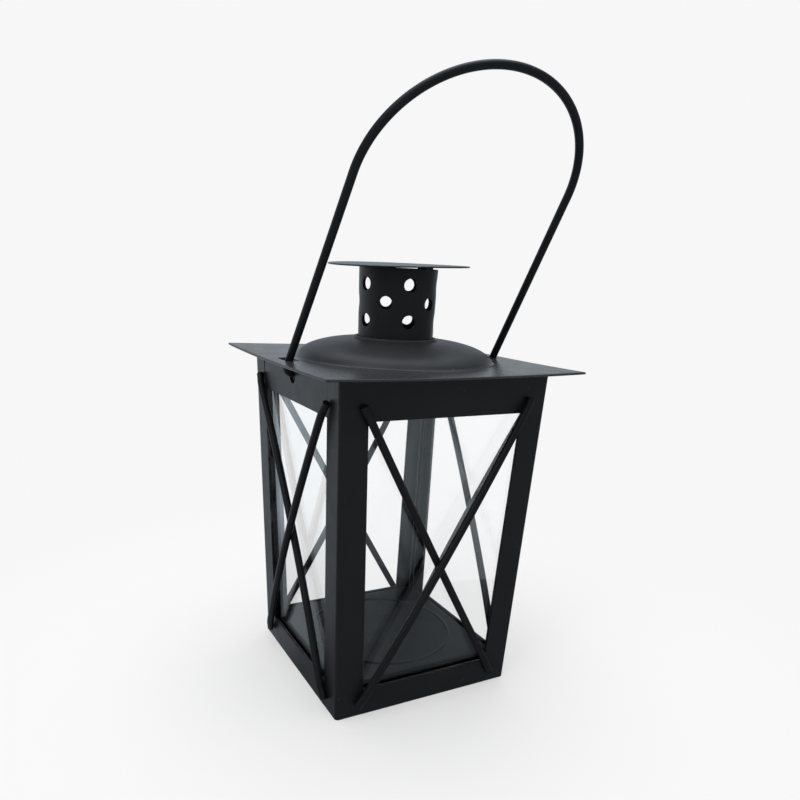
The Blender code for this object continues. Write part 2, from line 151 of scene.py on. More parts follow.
def bell(offset: Array, reach: float) -> Array:
    """One in the middle and less to both sides: the exponential of minus (offset over reach) squared."""
    return np.exp(-(offset / reach) ** 2)


def nearness(distance: Array, reach: float = WEAR_REACH) -> Array:
    """How near a point is to an edge: the exponential of minus its distance over a reach."""
    return np.exp(-distance / reach)


def arc(middle: tuple[float, float], radius: float, start: float, end: float, count: int) -> Array:
    """Points of an arc between two angles: the middle plus the radius times cosine and sine."""
    turn = np.linspace(start, end, count)
    return joined(middle[0] + radius * np.cos(turn), middle[1] + radius * np.sin(turn))


def lengths_along(line: Array) -> Array:
    """The distance from the start of a line of points to each of them: the running sum of the steps."""
    return np.concatenate([[0.0], np.cumsum(np.linalg.norm(np.diff(line, axis=0), axis=1))])


def directions(line: Array) -> Array:
    """The line's direction at each of its points: its gradient brought to a length of one."""
    along = np.gradient(line, axis=0)
    return along / np.linalg.norm(along, axis=1)[:, None]


def read_at(line: Array, known: Array, wanted: Array) -> Array:
    """Points of a line at wanted stations, read straight between its own at known ones."""
    return np.stack([np.interp(wanted, known, column) for column in line.T], axis=-1)


def softened(line: Array, reach: float, spacing: float) -> Array:
    """A line with its corners rounded: each point is the bell-weighted mean of its neighbours.

    Args:
        line: points, one a row.
        reach: the bell's width, in metres.
        spacing: the distance between the points returned.

    Returns:
        Evenly spaced points, whose two ends stay where they were.
    """
    run = lengths_along(line)
    count = max(int(run[-1] / spacing), FEWEST_POINTS)
    even = read_at(line, run, np.linspace(0.0, 1.0, count) * run[-1])
    half = min(int(BELL_SPAN * reach / spacing), count - 1)
    weights = bell(np.arange(-half, half + 1) * spacing, reach * math.sqrt(2.0))
    weights /= weights.sum()
    padded = np.pad(even, ((half, half), (0, 0)), mode="reflect", reflect_type="odd")
    return np.stack([np.convolve(column, weights, mode="valid") for column in padded.T], axis=-1)


def turned(points: Array, angle: float) -> Array:
    """Points turned about the upright axis: x' = x cos - y sin, y' = x sin + y cos.

    Args:
        points: any array whose last axis is x, y, z.
        angle: the turn in radians.

    Returns:
        The turned points.
    """
    cos, sin = math.cos(angle), math.sin(angle)
    x, y, z = points[..., 0], points[..., 1], points[..., 2]
    return joined(x * cos - y * sin, x * sin + y * cos, z)


def square_reach(angle: Array, half: Array, corner: float) -> Array:
    """How far a square with rounded corners reaches in each direction.

    A side is met at its half width over the larger of cosine and sine. A corner is
    met where the ray crosses a circle of the corner's radius, which is centred that
    radius inside both sides.

    Args:
        angle: directions in radians.
        half: half the square's width.
        corner: the corners' radius.

    Returns:
        The distance from the centre, one for each direction.
    """
    parts = np.abs([np.cos(angle), np.sin(angle)])
    large, small = parts.max(axis=0), parts.min(axis=0)
    side = half / large
    centre = half - corner
    room = np.maximum(corner ** 2 - centre ** 2 * (large - small) ** 2, 0.0)
    return np.where(side * small <= centre, side, centre * (large + small) + np.sqrt(room))


@dataclass(frozen=True)
class Patch:
    """A surface over two parameters, with how near each of its points is to a worn edge; on the roof's collar
    and the tray's bead this value is a painted highlight instead.
    """

    points: Array
    edge: Array
    wrap_rows: bool = False

    def turned(self, angle: float) -> "Patch":
        """The same patch turned about the upright axis by an angle in radians."""
        return replace(self, points=turned(self.points, angle))

    def faces(self) -> Array:
        """Its four-sided faces between neighbouring points, where the columns go round.

        Returns:
            The corner numbers, one face a row.
        """
        rows, columns = self.points.shape[:2]
        low, left = np.meshgrid(np.arange(rows - 1 + self.wrap_rows), np.arange(columns), indexing="ij")
        high, right = (low + 1) % rows, (left + 1) % columns
        corners = (low * columns + left, low * columns + right, high * columns + right, high * columns + left)
        return joined(*corners).reshape(-1, 4)


@dataclass(frozen=True)
class Run:
    """Stations along a piece: their shares of its length and how full the section is there."""

    along: Array
    full: Array
    edge: Array

    @classmethod
    def rounded(cls, length: float, rounding: float, steps: int) -> "Run":
        """A run whose ends close in a squarish quarter oval.

        Args:
            length: the piece's length.
            rounding: how far the ends' rounding reaches in.
            steps: the number of stations between the ends.

        Returns:
            The run.
        """
        turn = np.linspace(0.0, QUARTER, END_STEPS)
        swell = np.sin(turn) ** SQUARISH
        start = rounding / length * (1.0 - np.cos(turn) ** SQUARISH)
        guard = start[-1] + GUARD / length
        along = np.concatenate([start, guard + (1.0 - 2.0 * guard) * paced(steps), 1.0 - start[::-1]])
        full = np.concatenate([swell, np.ones(steps), swell[::-1]])
        return cls(along, full, nearness(cls.from_end(along, length)))

    @classmethod
    def plain(cls) -> "Run":
        """A run with flat ends, for a cutter."""
        return cls(np.array([0.0, 0.0, 1.0, 1.0]), np.array([0.0, 1.0, 1.0, 0.0]), np.zeros(4))

    @staticmethod
    def from_end(along: Array, length: float) -> Array:
        """The distance of each station from the nearer end."""
        return np.minimum(along, 1.0 - along) * length


@dataclass(frozen=True)
class Section:
    """A closed outline across a sheet or wire: its middle line and what reaches out from it."""

    middle: Array
    reach: Array
    edge: Array

    @classmethod
    def outline(cls, points: Array) -> "Section":
        """A plain closed outline about the origin."""
        return cls(np.zeros_like(points), points, np.zeros(len(points)))

    @classmethod
    def wire(cls, radius: float, sides: int) -> "Section":
        """A round wire: the cosine and sine of an even turn times the radius."""
        turn = full_turn(sides)
        return cls.outline(radius * joined(np.cos(turn), np.sin(turn)))

    @classmethod
    def strip(cls, line: Array, thickness: float, rounding: float) -> "Section":
        """A bent strip of sheet: the line moved half the thickness to either side.

        Its two cut edges are closed by a squarish half oval.

        Args:
            line: the strip's middle line, as points in the plane.
            thickness: the sheet's thickness.
            rounding: how far the cut edges' rounding reaches in.

        Returns:
            The section.
        """
        along = directions(line)
        across = joined(-along[:, 1], along[:, 0])
        inner = line.copy()
        inner[0] += rounding * along[0]
        inner[-1] -= rounding * along[-1]
        ends = [1, len(line) - 1]
        inner = np.insert(inner, ends, [inner[0] + GUARD * along[0], inner[-1] - GUARD * along[-1]], 0)
        across = np.insert(across, ends, [across[0], across[-1]], 0)
        run = lengths_along(inner)
        near = nearness(np.minimum(run, run[-1] - run))
        turn = np.linspace(0.0, np.pi, EDGE_STEPS)[1:-1]
        out = (rounding * np.sin(turn) ** SQUARISH)[:, None]
        side = (thickness / 2 * np.sign(np.cos(turn)) * np.abs(np.cos(turn)) ** SQUARISH)[:, None]
        half = across * thickness / 2
        middle = [inner, np.repeat(inner[-1:], len(turn), 0), inner[::-1], np.repeat(inner[:1], len(turn), 0)]
        reach = [half, out * along[-1] + side * across[-1], -half[::-1], -out * along[0] - side * across[0]]
        ones = np.ones(len(turn))
        edge = [near, ones, near[::-1], ones]
        return cls(np.concatenate(middle), np.concatenate(reach), np.concatenate(edge))

    def swept(self, run: Run) -> tuple[Array, Array]:
        """The outline at each station, middle plus fullness times reach, and its nearness to an edge."""
        flat = self.middle[None] + run.full[:, None, None] * self.reach[None]
        return flat, np.maximum(self.edge[None], run.edge[:, None])


def carried(section: Section, run: Run, place: Placing) -> Patch:
    """A section carried along a run and put in place.

    Args:
        section: the outline across.
        run: the stations along.
        place: turns the section's two coordinates and the share along into x, y, z.

    Returns:
        The closed patch.
    """
    flat, edge = section.swept(run)
    along = np.broadcast_to(run.along[:, None], flat.shape[:2])
    return Patch(place(flat[..., 0], flat[..., 1], along), edge)


@dataclass(frozen=True)
class Course:
    """A line through space, with the two directions across it at each of its points."""

    points: Array
    side: Array
    rise: Array

    @classmethod
    def through(cls, line: Array, hint: Array) -> "Course":
        """Side is the line's direction crossed with the hint, and rise is side crossed with it.

        Args:
            line: points in space, one a row.
            hint: a direction that is never along the line.

        Returns:
            The course.
        """
        along = directions(line)
        side = np.cross(along, hint)
        side /= np.linalg.norm(side, axis=1)[:, None]
        return cls(line, side, np.cross(side, along))

    def at(self, run: Run) -> list[Array]:
        """The line at a run's stations.

        Args:
            run: the stations.

        Returns:
            The points and the two directions across the line at each of them.
        """
        share = lengths_along(self.points)
        share = share / share[-1]
        return [read_at(line, share, run.along)[:, None] for line in (self.points, self.side, self.rise)]

    def carry(self, section: Section, run: Run) -> Patch:
        """The section carried along the line: point plus side and rise times its coordinates.

        Args:
            section: the outline across the line.
            run: the stations along it.

        Returns:
            The closed patch.
        """
        point, side, rise = self.at(run)
        flat, edge = section.swept(run)
        return Patch(point + flat[..., :1] * side + flat[..., 1:] * rise, edge)


def spun(radius: Array, height: Array, edge: Array, sides: int, closed: bool = True) -> Patch:
    """Loops round the upright axis: x is the radius times cosine and y the radius times sine.

    Args:
        radius: each loop's radius, or one for each of its points.
        height: each loop's height.
        edge: each loop's nearness to a worn edge; on the roof's collar and the tray's bead it is a painted
            highlight instead.
        sides: how many points go round.
        closed: whether the last loop joins the first.

    Returns:
        The patch.
    """
    turn = full_turn(sides)
    radius = radius if radius.ndim > 1 else radius[:, None]
    points = joined(radius * np.cos(turn), radius * np.sin(turn), height[:, None])
    return Patch(points, np.repeat(edge[:, None], sides, axis=1), closed)


@dataclass(frozen=True)
class PressedSheet:
    """Loops of a pressed sheet that change from circles to rounded squares."""

    share: Array
    size: Array
    height: Array
    edge: Array

    def patch(self, corner: float, sides: int, closed: bool) -> Patch:
        """The surface: (1 - share) times the size plus share times the rounded square's reach.

        Args:
            corner: the squares' corner radius.
            sides: how many points go round.
            closed: whether the last loop joins the first.

        Returns:
            The patch.
        """
        square = square_reach(full_turn(sides)[None], np.maximum(self.size, corner)[:, None], corner)
        radius = (1.0 - self.share)[:, None] * self.size[:, None] + self.share[:, None] * square
        return spun(radius, self.height, self.edge, sides, closed)


# Materials


def opaque(colour: Triple) -> tuple[float, float, float, float]:
    """The colour with an alpha of one."""
    return (*colour, 1.0)


class NodeBench:
    """Adds nodes to one tree and joins them."""

    def __init__(self, tree: bpy.types.NodeTree) -> None:
        """Works on the tree that is given."""
        self.tree = tree

    def feed(self, node: bpy.types.Node, values: Values) -> None:
        """Fills a node's inputs.

        Args:
            node: the node.
            values: for each input, by name or number, a socket to join or a plain value.
        """
        for name, value in values.items():
            if isinstance(value, Socket):
                self.tree.links.new(value, node.inputs[name])
            else:
                node.inputs[name].default_value = value

    def add(self, kind: str, values: Values | None = None, **settings: object) -> bpy.types.Node:
        """Adds a node.

        Args:
            kind: the node's type name.
            values: what its inputs take, as feed does.
            settings: the node's own settings.

        Returns:
            The node.
        """
        node = self.tree.nodes.new(kind)
        for name, value in settings.items():
            setattr(node, name, value)
        self.feed(node, values or {})
        return node

    def position(self) -> Socket:
        """The position on the object."""
        return self.add("ShaderNodeTexCoord").outputs["Object"]

    def edge(self) -> Socket:
        """The mesh's nearness to a worn edge, which on the collar and the bead is a painted highlight
        instead.
        """
        return self.add("ShaderNodeAttribute", attribute_name="edge").outputs["Fac"]

    def effect(self, effect: "SharedEffect", values: Values) -> bpy.types.NodeOutputs:
        """What a shared effect puts out for the values given."""
        return self.add("ShaderNodeGroup", values, node_tree=effect.group()).outputs

    def noise(self, place: Socket, scale: object, detail: float, rough: float = 0.5) -> Socket:
        """A cloudy value between 0 and 1 at a scale per metre."""
        values = {"Vector": place, "Scale": scale, "Detail": detail, "Roughness": rough}
        return self.add("ShaderNodeTexNoise", values).outputs[0]

    def math(self, operation: str, *terms: object) -> Socket:
        """The result of one sum, product or comparison."""
        return self.add("ShaderNodeMath", dict(enumerate(terms)), operation=operation).outputs[0]

    def vector(self, operation: str, *terms: object) -> bpy.types.NodeOutputs:
        """What one sum, product or length of vectors puts out."""
        return self.add("ShaderNodeVectorMath", dict(enumerate(terms)), operation=operation).outputs

    def ramp(self, value: Socket, low: object, high: object, bottom: float = 0.0, top: float = 1.0) -> Socket:
        """Carries low to high smoothly over to bottom to top, and holds beyond."""
        values = {"Value": value, "From Min": low, "From Max": high, "To Min": bottom, "To Max": top}
        return self.add("ShaderNodeMapRange", values, interpolation_type="SMOOTHSTEP").outputs[0]

    def tint(self, share: Socket, low: Socket | Triple, high: Triple) -> Socket:
        """A colour between two, by a share."""
        start = low if isinstance(low, Socket) else opaque(low)
        return self.add("ShaderNodeMix", {0: share, 6: start, 7: opaque(high)}, data_type="RGBA").outputs[2]

    def bump(self, height: Socket, depth: float, strength: float = 1.0) -> Socket:
        """The normal of a surface that is raised by a height times a depth in metres."""
        values = {"Strength": strength, "Distance": depth, "Height": height}
        return self.add("ShaderNodeBump", values).outputs["Normal"]


def paint_grain(bench: NodeBench, given: Sockets) -> Sockets:
    """Powder paint: a fine peel for the bump, slow tone changes and uneven gloss.

    Args:
        bench: the bench in the group's tree.
        given: the group's inputs by name.

    Returns:
        The group's outputs by name.
    """
    place, peel_scale, tone_scale = given["Position"], given["Peel Scale"], given["Tone Scale"]
    peel = bench.noise(place, peel_scale, detail=2.0, rough=0.55)
    fine = bench.noise(place, bench.math("MULTIPLY", peel_scale, FINE_PEEL), detail=1.0)
    slow = bench.noise(place, tone_scale, detail=3.0, rough=0.6)
    gloss = bench.noise(place, bench.math("MULTIPLY", tone_scale, FINE_GLOSS), detail=3.0, rough=0.6)
    return {
        "Height": bench.math("MULTIPLY_ADD", fine, FINE_SHARE, peel),
        "Tone": bench.ramp(slow, low=0.28, high=0.72),
        "Gloss": bench.ramp(gloss, low=0.3, high=0.7),
    }


def edge_wear(bench: NodeBench, given: Sockets) -> Sockets:
    """Paint rubbed thin along cut edges: nearness to the edge, broken up by noise. Where a piece sets a high
    edge value, as on the roof's collar and the tray's bead, the same mask makes a painted highlight.

    Args:
        bench: the bench in the group's tree.
        given: the group's inputs by name.

    Returns:
        The group's outputs by name.
    """
    broken = bench.noise(given["Position"], scale=420.0, detail=3.0, rough=0.65)
    patchy = bench.noise(given["Position"], scale=60.0, detail=2.0)
    reach = bench.math("MULTIPLY", given["Edge"], bench.math("ADD", broken, patchy))
    start = bench.math("SUBTRACT", WEAR_START, given["Amount"])
    return {"Mask": bench.ramp(reach, start, bench.math("ADD", start, WEAR_FADE))}


def settled_dust(bench: NodeBench, given: Sockets) -> Sockets:
    """Dust: a thin cloudy film and a few small specks.

    Args:
        bench: the bench in the group's tree.
        given: the group's inputs by name.

    Returns:
        The group's outputs by name.
    """
    place = given["Position"]
    cloud = bench.ramp(bench.noise(place, scale=75.0, detail=5.0, rough=0.68), low=0.42, high=0.8)
    film = bench.math("MULTIPLY", cloud, given["Film"])
    cells = bench.add("ShaderNodeTexVoronoi", {"Vector": place, "Scale": SPECK_SCALE})
    chosen = bench.ramp(bench.noise(place, scale=190.0, detail=2.0), low=0.6, high=0.68)
    dots = bench.math("MULTIPLY", bench.ramp(cells.outputs["Distance"], low=0.16, high=0.07), chosen)
    return {"Mask": bench.math("MAXIMUM", film, bench.math("MULTIPLY", dots, given["Specks"]))}


class SharedEffect(Enum):
    """Effects that more than one material uses: what makes each and its inputs' usual values."""

    PAINT_GRAIN = (paint_grain, {"Peel Scale": 900.0, "Tone Scale": 45.0})
    EDGE_WEAR = (edge_wear, {"Edge": 0.0, "Amount": 0.4})
    SETTLED_DUST = (settled_dust, {"Film": 0.3, "Specks": 0.3})

    def group(self) -> bpy.types.ShaderNodeTree:
        """The effect's node group with named sockets, built when it is first asked for.

        Returns:
            The group.
        """
        label = self.name.lower()
        if label in bpy.data.node_groups:
            return bpy.data.node_groups[label]
        make, usual = self.value
        tree = bpy.data.node_groups.new(label, "ShaderNodeTree")
        tree.interface.new_socket(name="Position", in_out="INPUT", socket_type="NodeSocketVector")
        for name, value in usual.items():
            socket = tree.interface.new_socket(name=name, in_out="INPUT", socket_type="NodeSocketFloat")
            socket.default_value = value
        bench = NodeBench(tree)
        made = make(bench, bench.add("NodeGroupInput").outputs)
        for name in made:
            tree.interface.new_socket(name=name, in_out="OUTPUT", socket_type="NodeSocketFloat")
        bench.add("NodeGroupOutput", made)
        return tree


class Finish:
    """What every finish offers: its name, a slot name and its material."""

    name: str
    slot: str
    colour: Triple
    alpha: float = 1.0

    def inputs(self, bench: NodeBench) -> dict[str, object]:
        """What the Principled shader's inputs take, each a socket or one value."""
        raise NotImplementedError

    @lru_cache(maxsize=None)
    def material(self) -> bpy.types.Material:
        """The finish as a material, made once.

        Returns:
            The material.
        """
        material = bpy.data.materials.new(self.name)
        material.use_nodes = True
        bench = NodeBench(material.node_tree)
        bench.feed(material.node_tree.nodes["Principled BSDF"], self.inputs(bench))
        material.diffuse_color = (*self.colour, self.alpha)
        return material


@dataclass(frozen=True)
class BlackPaint(Finish):
    """Satin black powder paint on metal, rubbed at its edges and a little dusty; the same edge mask also
    paints highlights where a piece sets it high.
    """

    name: str
    slot: str
    colour: Triple = (0.0066, 0.0072, 0.0090)
    tone_colour: Triple = (0.0080, 0.0087, 0.0106)
    worn_and_highlight_colour: Triple = (0.055, 0.057, 0.062)
    dust_colour: Triple = (0.14, 0.145, 0.15)
    roughness: float = 0.36
    roughness_spread: float = 0.02
    specular: float = 0.28
    peel_scale: float = 850.0
    peel_depth: float = 0.000035
    wear: float = 0.42
    film: float = 0.0
    specks: float = 0.22
    dust_dullness: float = 0.3
    drawn_radius: float = 0.0
    drawn_fade: float = 0.003
    drawn_dullness: float = 0.0

    def drawn(self, bench: NodeBench, place: Socket) -> Socket:
        """How much rougher the paint is on the deep-drawn middle of a sheet than on its flat part.

        Args:
            bench: the bench to work on.
            place: the position on the object.

        Returns:
            What to add to the roughness.
        """
        flat = bench.vector("MULTIPLY", place, (1.0, 1.0, 0.0))["Vector"]
        radius, start = bench.vector("LENGTH", flat)["Value"], self.drawn_radius - self.drawn_fade
        return bench.ramp(radius, start, self.drawn_radius, self.drawn_dullness, 0.0)

    def inputs(self, bench: NodeBench) -> dict[str, object]:
        """Two tones of paint under wear, painted highlights and dust, with a peel and an uneven gloss.

        Args:
            bench: the bench in the material's tree.

        Returns:
            The inputs by name.
        """
        place = bench.position()
        at = {"Position": place}
        grain = bench.effect(SharedEffect.PAINT_GRAIN, at | {"Peel Scale": self.peel_scale})
        worn = bench.effect(SharedEffect.EDGE_WEAR, at | {"Edge": bench.edge(), "Amount": self.wear})
        dust = bench.effect(SharedEffect.SETTLED_DUST, at | {"Film": self.film, "Specks": self.specks})
        colour = bench.tint(grain["Tone"], self.colour, self.tone_colour)
        # Wear along edges, and painted highlights where the edge value is set high on purpose (collar, bead).
        colour = bench.tint(worn["Mask"], colour, self.worn_and_highlight_colour)
        colour = bench.tint(dust["Mask"], colour, self.dust_colour)
        low, high = self.roughness - self.roughness_spread, self.roughness + self.roughness_spread
        rough = bench.ramp(grain["Gloss"], 0.0, 1.0, low, high)
        rough = bench.math("ADD", rough, bench.math("MULTIPLY", dust["Mask"], self.dust_dullness))
        if self.drawn_radius:
            rough = bench.math("ADD", rough, self.drawn(bench, place))
        bump = bench.bump(grain["Height"], self.peel_depth)
        return {"Base Color": colour, "Roughness": rough, "Normal": bump, "Specular IOR Level": self.specular}


@dataclass(frozen=True)
class PaneGlass(Finish):
    """Clear float glass with a faint film of dust and frosted edges."""

    name: str = "window_glass"
    slot: str = "pane_glass"
    colour: Triple = (1.0, 1.0, 1.0)
    alpha: float = 0.3
    hazed_colour: Triple = (0.965, 0.975, 0.98)
    index: float = 1.5
    roughness: float = 0.0
    edge_roughness: float = 0.7
    edge_start: float = 0.72
    edge_end: float = 0.9
    film: float = 0.35
    specks: float = 0.6

    def inputs(self, bench: NodeBench) -> dict[str, object]:
        """Glass that dust hazes and whose seamed edges are rough.

        Args:
            bench: the bench in the material's tree.

        Returns:
            The inputs by name.
        """
        values = {"Position": bench.position(), "Film": self.film, "Specks": self.specks}
        dust = bench.effect(SharedEffect.SETTLED_DUST, values)
        rough = bench.ramp(bench.edge(), self.edge_start, self.edge_end, self.roughness, self.edge_roughness)
        colour = bench.tint(dust["Mask"], self.colour, self.hazed_colour)
        return {"Base Color": colour, "Roughness": rough, "IOR": self.index, "Transmission Weight": 1.0}


@dataclass(frozen=True)
class ClipSteel(Finish):
    """Bright sheet steel of the pane clips, rolled and a little dull."""

    name: str = "rolled_clip_steel"
    slot: str = "clip_steel"
    colour: Triple = (0.42, 0.43, 0.44)
    dull_colour: Triple = (0.24, 0.245, 0.25)
    roughness: tuple[float, float] = (0.26, 0.46)
    grain_scale: float = 2600.0
    grain_depth: float = 0.00001
    grain_strength: float = 0.6

    def inputs(self, bench: NodeBench) -> dict[str, object]:
        """Plain metal with a fine grain.

        Args:
            bench: the bench in the material's tree.

        Returns:
            The inputs by name.
        """
        values = {"Position": bench.position(), "Peel Scale": self.grain_scale}
        grain = bench.effect(SharedEffect.PAINT_GRAIN, values)
        colour = bench.tint(grain["Tone"], self.dull_colour, self.colour)
        rough = bench.ramp(grain["Gloss"], 0.0, 1.0, *self.roughness)
        bump = bench.bump(grain["Height"], self.grain_depth, self.grain_strength)
        return {"Base Color": colour, "Roughness": rough, "Normal": bump, "Metallic": 1.0}


# Pieces


def mesh_of(name: str, patches: list[Patch]) -> bpy.types.Mesh:
    """One mesh of several patches, with their seams closed and their faces turned outwards.

    Args:
        name: the mesh's name.
        patches: the surfaces.

    Returns:
        The mesh, with the nearness to a worn edge, and the painted highlights of the collar and the bead, in
        its edge attribute.
    """
    starts = np.cumsum([0] + [patch.edge.size for patch in patches[:-1]])
    points = np.concatenate([patch.points.reshape(-1, 3) for patch in patches])
    faces = np.concatenate([patch.faces() + start for patch, start in zip(patches, starts)])
    edge = np.concatenate([patch.edge.reshape(-1) for patch in patches])
    mesh = bpy.data.meshes.new(name)
    mesh.vertices.add(len(points))
    mesh.vertices.foreach_set("co", points.astype(np.float32).ravel())
    mesh.loops.add(faces.size)
    mesh.loops.foreach_set("vertex_index", faces.astype(np.int32).ravel())
    mesh.polygons.add(len(faces))
    mesh.polygons.foreach_set("loop_start", np.arange(0, faces.size, 4, dtype=np.int32))
    mesh.update(calc_edges=True)
    mesh.attributes.new("edge", "FLOAT", "POINT").data.foreach_set("value", edge.astype(np.float32))
    shape = bmesh.new()
    shape.from_mesh(mesh)
    bmesh.ops.remove_doubles(shape, verts=shape.verts, dist=WELD_REACH)
    bmesh.ops.dissolve_degenerate(shape, edges=shape.edges, dist=WELD_REACH)
    bmesh.ops.recalc_face_normals(shape, faces=shape.faces)
    shape.to_mesh(mesh)
    shape.free()
    mesh.validate()
    return mesh


def linked(name: str, data: bpy.types.ID) -> bpy.types.Object:
    """A new object in the scene.

    Args:
        name: its name.
        data: the mesh, lamp or camera that it shows.

    Returns:
        The object.
    """
    thing = bpy.data.objects.new(name, data)
    bpy.context.scene.collection.objects.link(thing)
    return thing


@dataclass
class Piece:
    """One finished object: its surfaces, its finish, its body and the nodes it stands for."""

    name: str
    patches: list[Patch]
    finish: Finish
    body: Body
    stands_for: tuple[str, ...]
    cutters: list[Patch] = field(default_factory=list)
    crease: float = 42.0

    def make(self) -> bpy.types.Object:
        """Builds the object, cuts its openings, dresses it and sets it on its body.

        Returns:
            The object, unturned at the origin.
        """
        thing = linked(self.name, mesh_of(self.name, self.patches))
        if self.cutters:
            self.cut(thing)
        thing.data.shade_smooth()
        thing.data.set_sharp_from_angle(angle=math.radians(self.crease))
        thing.data.materials.clear()
        thing.data.materials.append(self.finish.material())
        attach(thing, self.body.value)
        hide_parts(*self.stands_for)
        LOG.info("%s: %d faces on %s", self.name, len(thing.data.polygons), self.body.value)
        return thing

    def cut(self, thing: bpy.types.Object) -> None:
        """Takes the cutters' space out of the object by an exact Boolean.

        Args:
            thing: the object to cut.
        """
        tool = linked(self.name + "_cutter", mesh_of(self.name + "_cutter", self.cutters))
        modifier = thing.modifiers.new("Openings", "BOOLEAN")
        modifier.operation = "DIFFERENCE"
        modifier.solver = "EXACT"
        modifier.object = tool
        bpy.context.view_layer.update()
        whole, cutter_mesh = thing.data, tool.data
        evaluated = thing.evaluated_get(bpy.context.evaluated_depsgraph_get())
        thing.data = bpy.data.meshes.new_from_object(evaluated)
        thing.modifiers.clear()
        thing.data.name = self.name
        bpy.data.objects.remove(tool, do_unlink=True)
        bpy.data.meshes.remove(cutter_mesh)
        bpy.data.meshes.remove(whole)


class SubAssembly:
    """Pieces that are made together."""

    def pieces(self) -> Iterator[Piece]:
        """The pieces, in the order in which they are made."""
        raise NotImplementedError

    def build(self) -> list[bpy.types.Object]:
        """Builds and dresses the pieces, and returns the finished objects."""
        return [piece.make() for piece in self.pieces()]


# Sub-assemblies


@dataclass(frozen=True)
class BoxShape:
    """The tapered box that the frame, the panes and the rods follow."""

    height: float = 0.107
    top_width: float = 0.0757
    foot_width: float = 0.0636
    sheet: float = 0.001
    fit: float = 0.0003
    pane_thickness: float = 0.002
    flange: float = 0.0093
    pivot_height: float = 0.1036

    @property
    def lean(self) -> float:
        """How much the half width grows for each metre of height."""
        return (self.top_width - self.foot_width) / 2 / self.height

    @property
    def pane_back(self) -> float:
        """The depth of the panes' inner side behind the outer face."""
        return self.sheet + self.fit + self.pane_thickness

    def half(self, height: Array | float) -> Array | float:
        """Half the box's outer width at a height."""
        return self.foot_width / 2 + self.lean * height

    def on_front(self, along: Array, depth: Array, height: Array) -> Array:
        """Points of the front face: x is along it, y the depth less the half width, z the height."""
        return joined(along, depth - self.half(height), height)


@dataclass(frozen=True)
class CornerPosts(SubAssembly):
    """Four angle posts, bent from sheet, that lean inwards towards the foot."""

    box: BoxShape
    finish: Finish
    bend_radius: float = 0.0012
    rounding: float = 0.00022
    steps: int = 9
    rows: int = 16

    def section(self) -> Section:
        """The bent angle: two straight flanges joined by a quarter circle.

        Returns:
            The section.
        """
        half, start = self.box.sheet / 2, self.bend_radius
        straight = start + (self.box.flange - start) * paced(self.steps)[::-1]
        bend = arc((start, start), start - half, np.pi, 1.5 * np.pi, self.steps)[1:-1]
        line = np.concatenate([joined(half, straight), bend, joined(straight[::-1], half)])
        return Section.strip(line, self.box.sheet, self.rounding)

    def place(self, across: Array, deep: Array, along: Array) -> Array:
        """Sets the section at the front left corner: each side leans as the box does.

        Args:
            across: the section's first coordinate.
            deep: its second one.
            along: the share of the height.

        Returns:
            The points.
        """
        height = along * self.box.height
        corner = -self.box.half(height)
        return joined(corner + across, corner + deep, height)

    def pieces(self) -> Iterator[Piece]:
        """The four posts.

        Returns:
            Each post in turn.
        """
        post = carried(self.section(), Run.rounded(self.box.height, self.rounding, self.rows), self.place)
        for corner in Corner:
            yield Piece(f"post_{corner.label}", [post.turned(corner.turn)], self.finish, Body.LANTERN,
                        (f"corner_post_{corner.label}",))


@dataclass(frozen=True)
class Rails(SubAssembly):
    """Top and bottom rails of sheet between the posts, two of them with the bail's hole."""

    box: BoxShape
    finish: Finish
    top_height: float = 0.0127
    bottom_height: float = 0.0085
    rounding: float = 0.00018
    lap: float = 0.0020
    sink: float = 0.0001
    proud: float = 0.00003
    slit: float = 0.0007
    hole_radius: float = 0.0025
    hole_drop: float = 0.0009
    hole_start: float = 0.25
    hole_sides: int = 40
    rows: int = 7
    columns: int = 40

    def rail(self, low: float, high: float, left_gap: float) -> Patch:
        """A rail on the front face: a flat strip whose ends lap behind the posts' edges.

        Args:
            low: the lower edge's height.
            high: the upper edge's height.
            left_gap: the open seam at the rail's left end.

        Returns:
            The closed patch.
        """
        line = joined(self.box.sheet / 2 - self.proud, low + (high - low) * paced(self.rows))
        section = Section.strip(line, self.box.sheet, self.rounding)

        def place(depth: Array, height: Array, along: Array) -> Array:
            """Sets the rail on the face, where its ends sink in smoothly over their laps.

            Args:
                depth: how far behind the outer face.
                height: the height above the base.
                along: the share of the way from the left end.

            Returns:
                The points.
            """
            reach = self.box.half(height) - self.box.flange
            left, right = -(reach - left_gap), reach + self.lap
            across = left + (right - left) * along
            over = np.clip((np.abs(across) - reach) / self.lap, 0.0, 1.0)
            return self.box.on_front(across, depth + self.sink * over ** 2 * (3 - 2 * over), height)

        length = 2 * (self.box.half(low) - self.box.flange)
        return carried(section, Run.rounded(length, self.rounding, self.columns), place)

    def hole(self) -> Patch:
        """The cutter of the hole that the bail's end turns in, from before to behind the sheet.

        Returns:
            The closed patch.
        """
        middle = self.box.pivot_height - self.hole_drop
        length = 4 * self.box.sheet

        def place(across: Array, up: Array, along: Array) -> Array:
            """Sets the cutter square to the sheet."""
            return joined(across, (along - self.hole_start) * length - self.box.half(middle), middle + up)

        return carried(Section.wire(self.hole_radius, self.hole_sides), Run.plain(), place)

    def pieces(self) -> Iterator[Piece]:
        """The eight rails, with the seam left open on the left.

        Returns:
            Each rail in turn.
        """
        for face in Face:
            gap = self.slit if face is Face.LEFT else -self.lap
            top = self.rail(self.box.height - self.top_height, self.box.height, gap).turned(face.turn)
            holes = [self.hole().turned(face.turn)] if face in (Face.LEFT, Face.RIGHT) else []
            yield Piece(f"rail_top_{face.label}", [top], self.finish, Body.LANTERN,
                        (f"top_rail_{face.label}",), holes)
            bottom = self.rail(0.0, self.bottom_height, -self.lap).turned(face.turn)
            yield Piece(f"rail_bottom_{face.label}", [bottom], self.finish, Body.LANTERN,
                        (f"bottom_rail_{face.label}",))


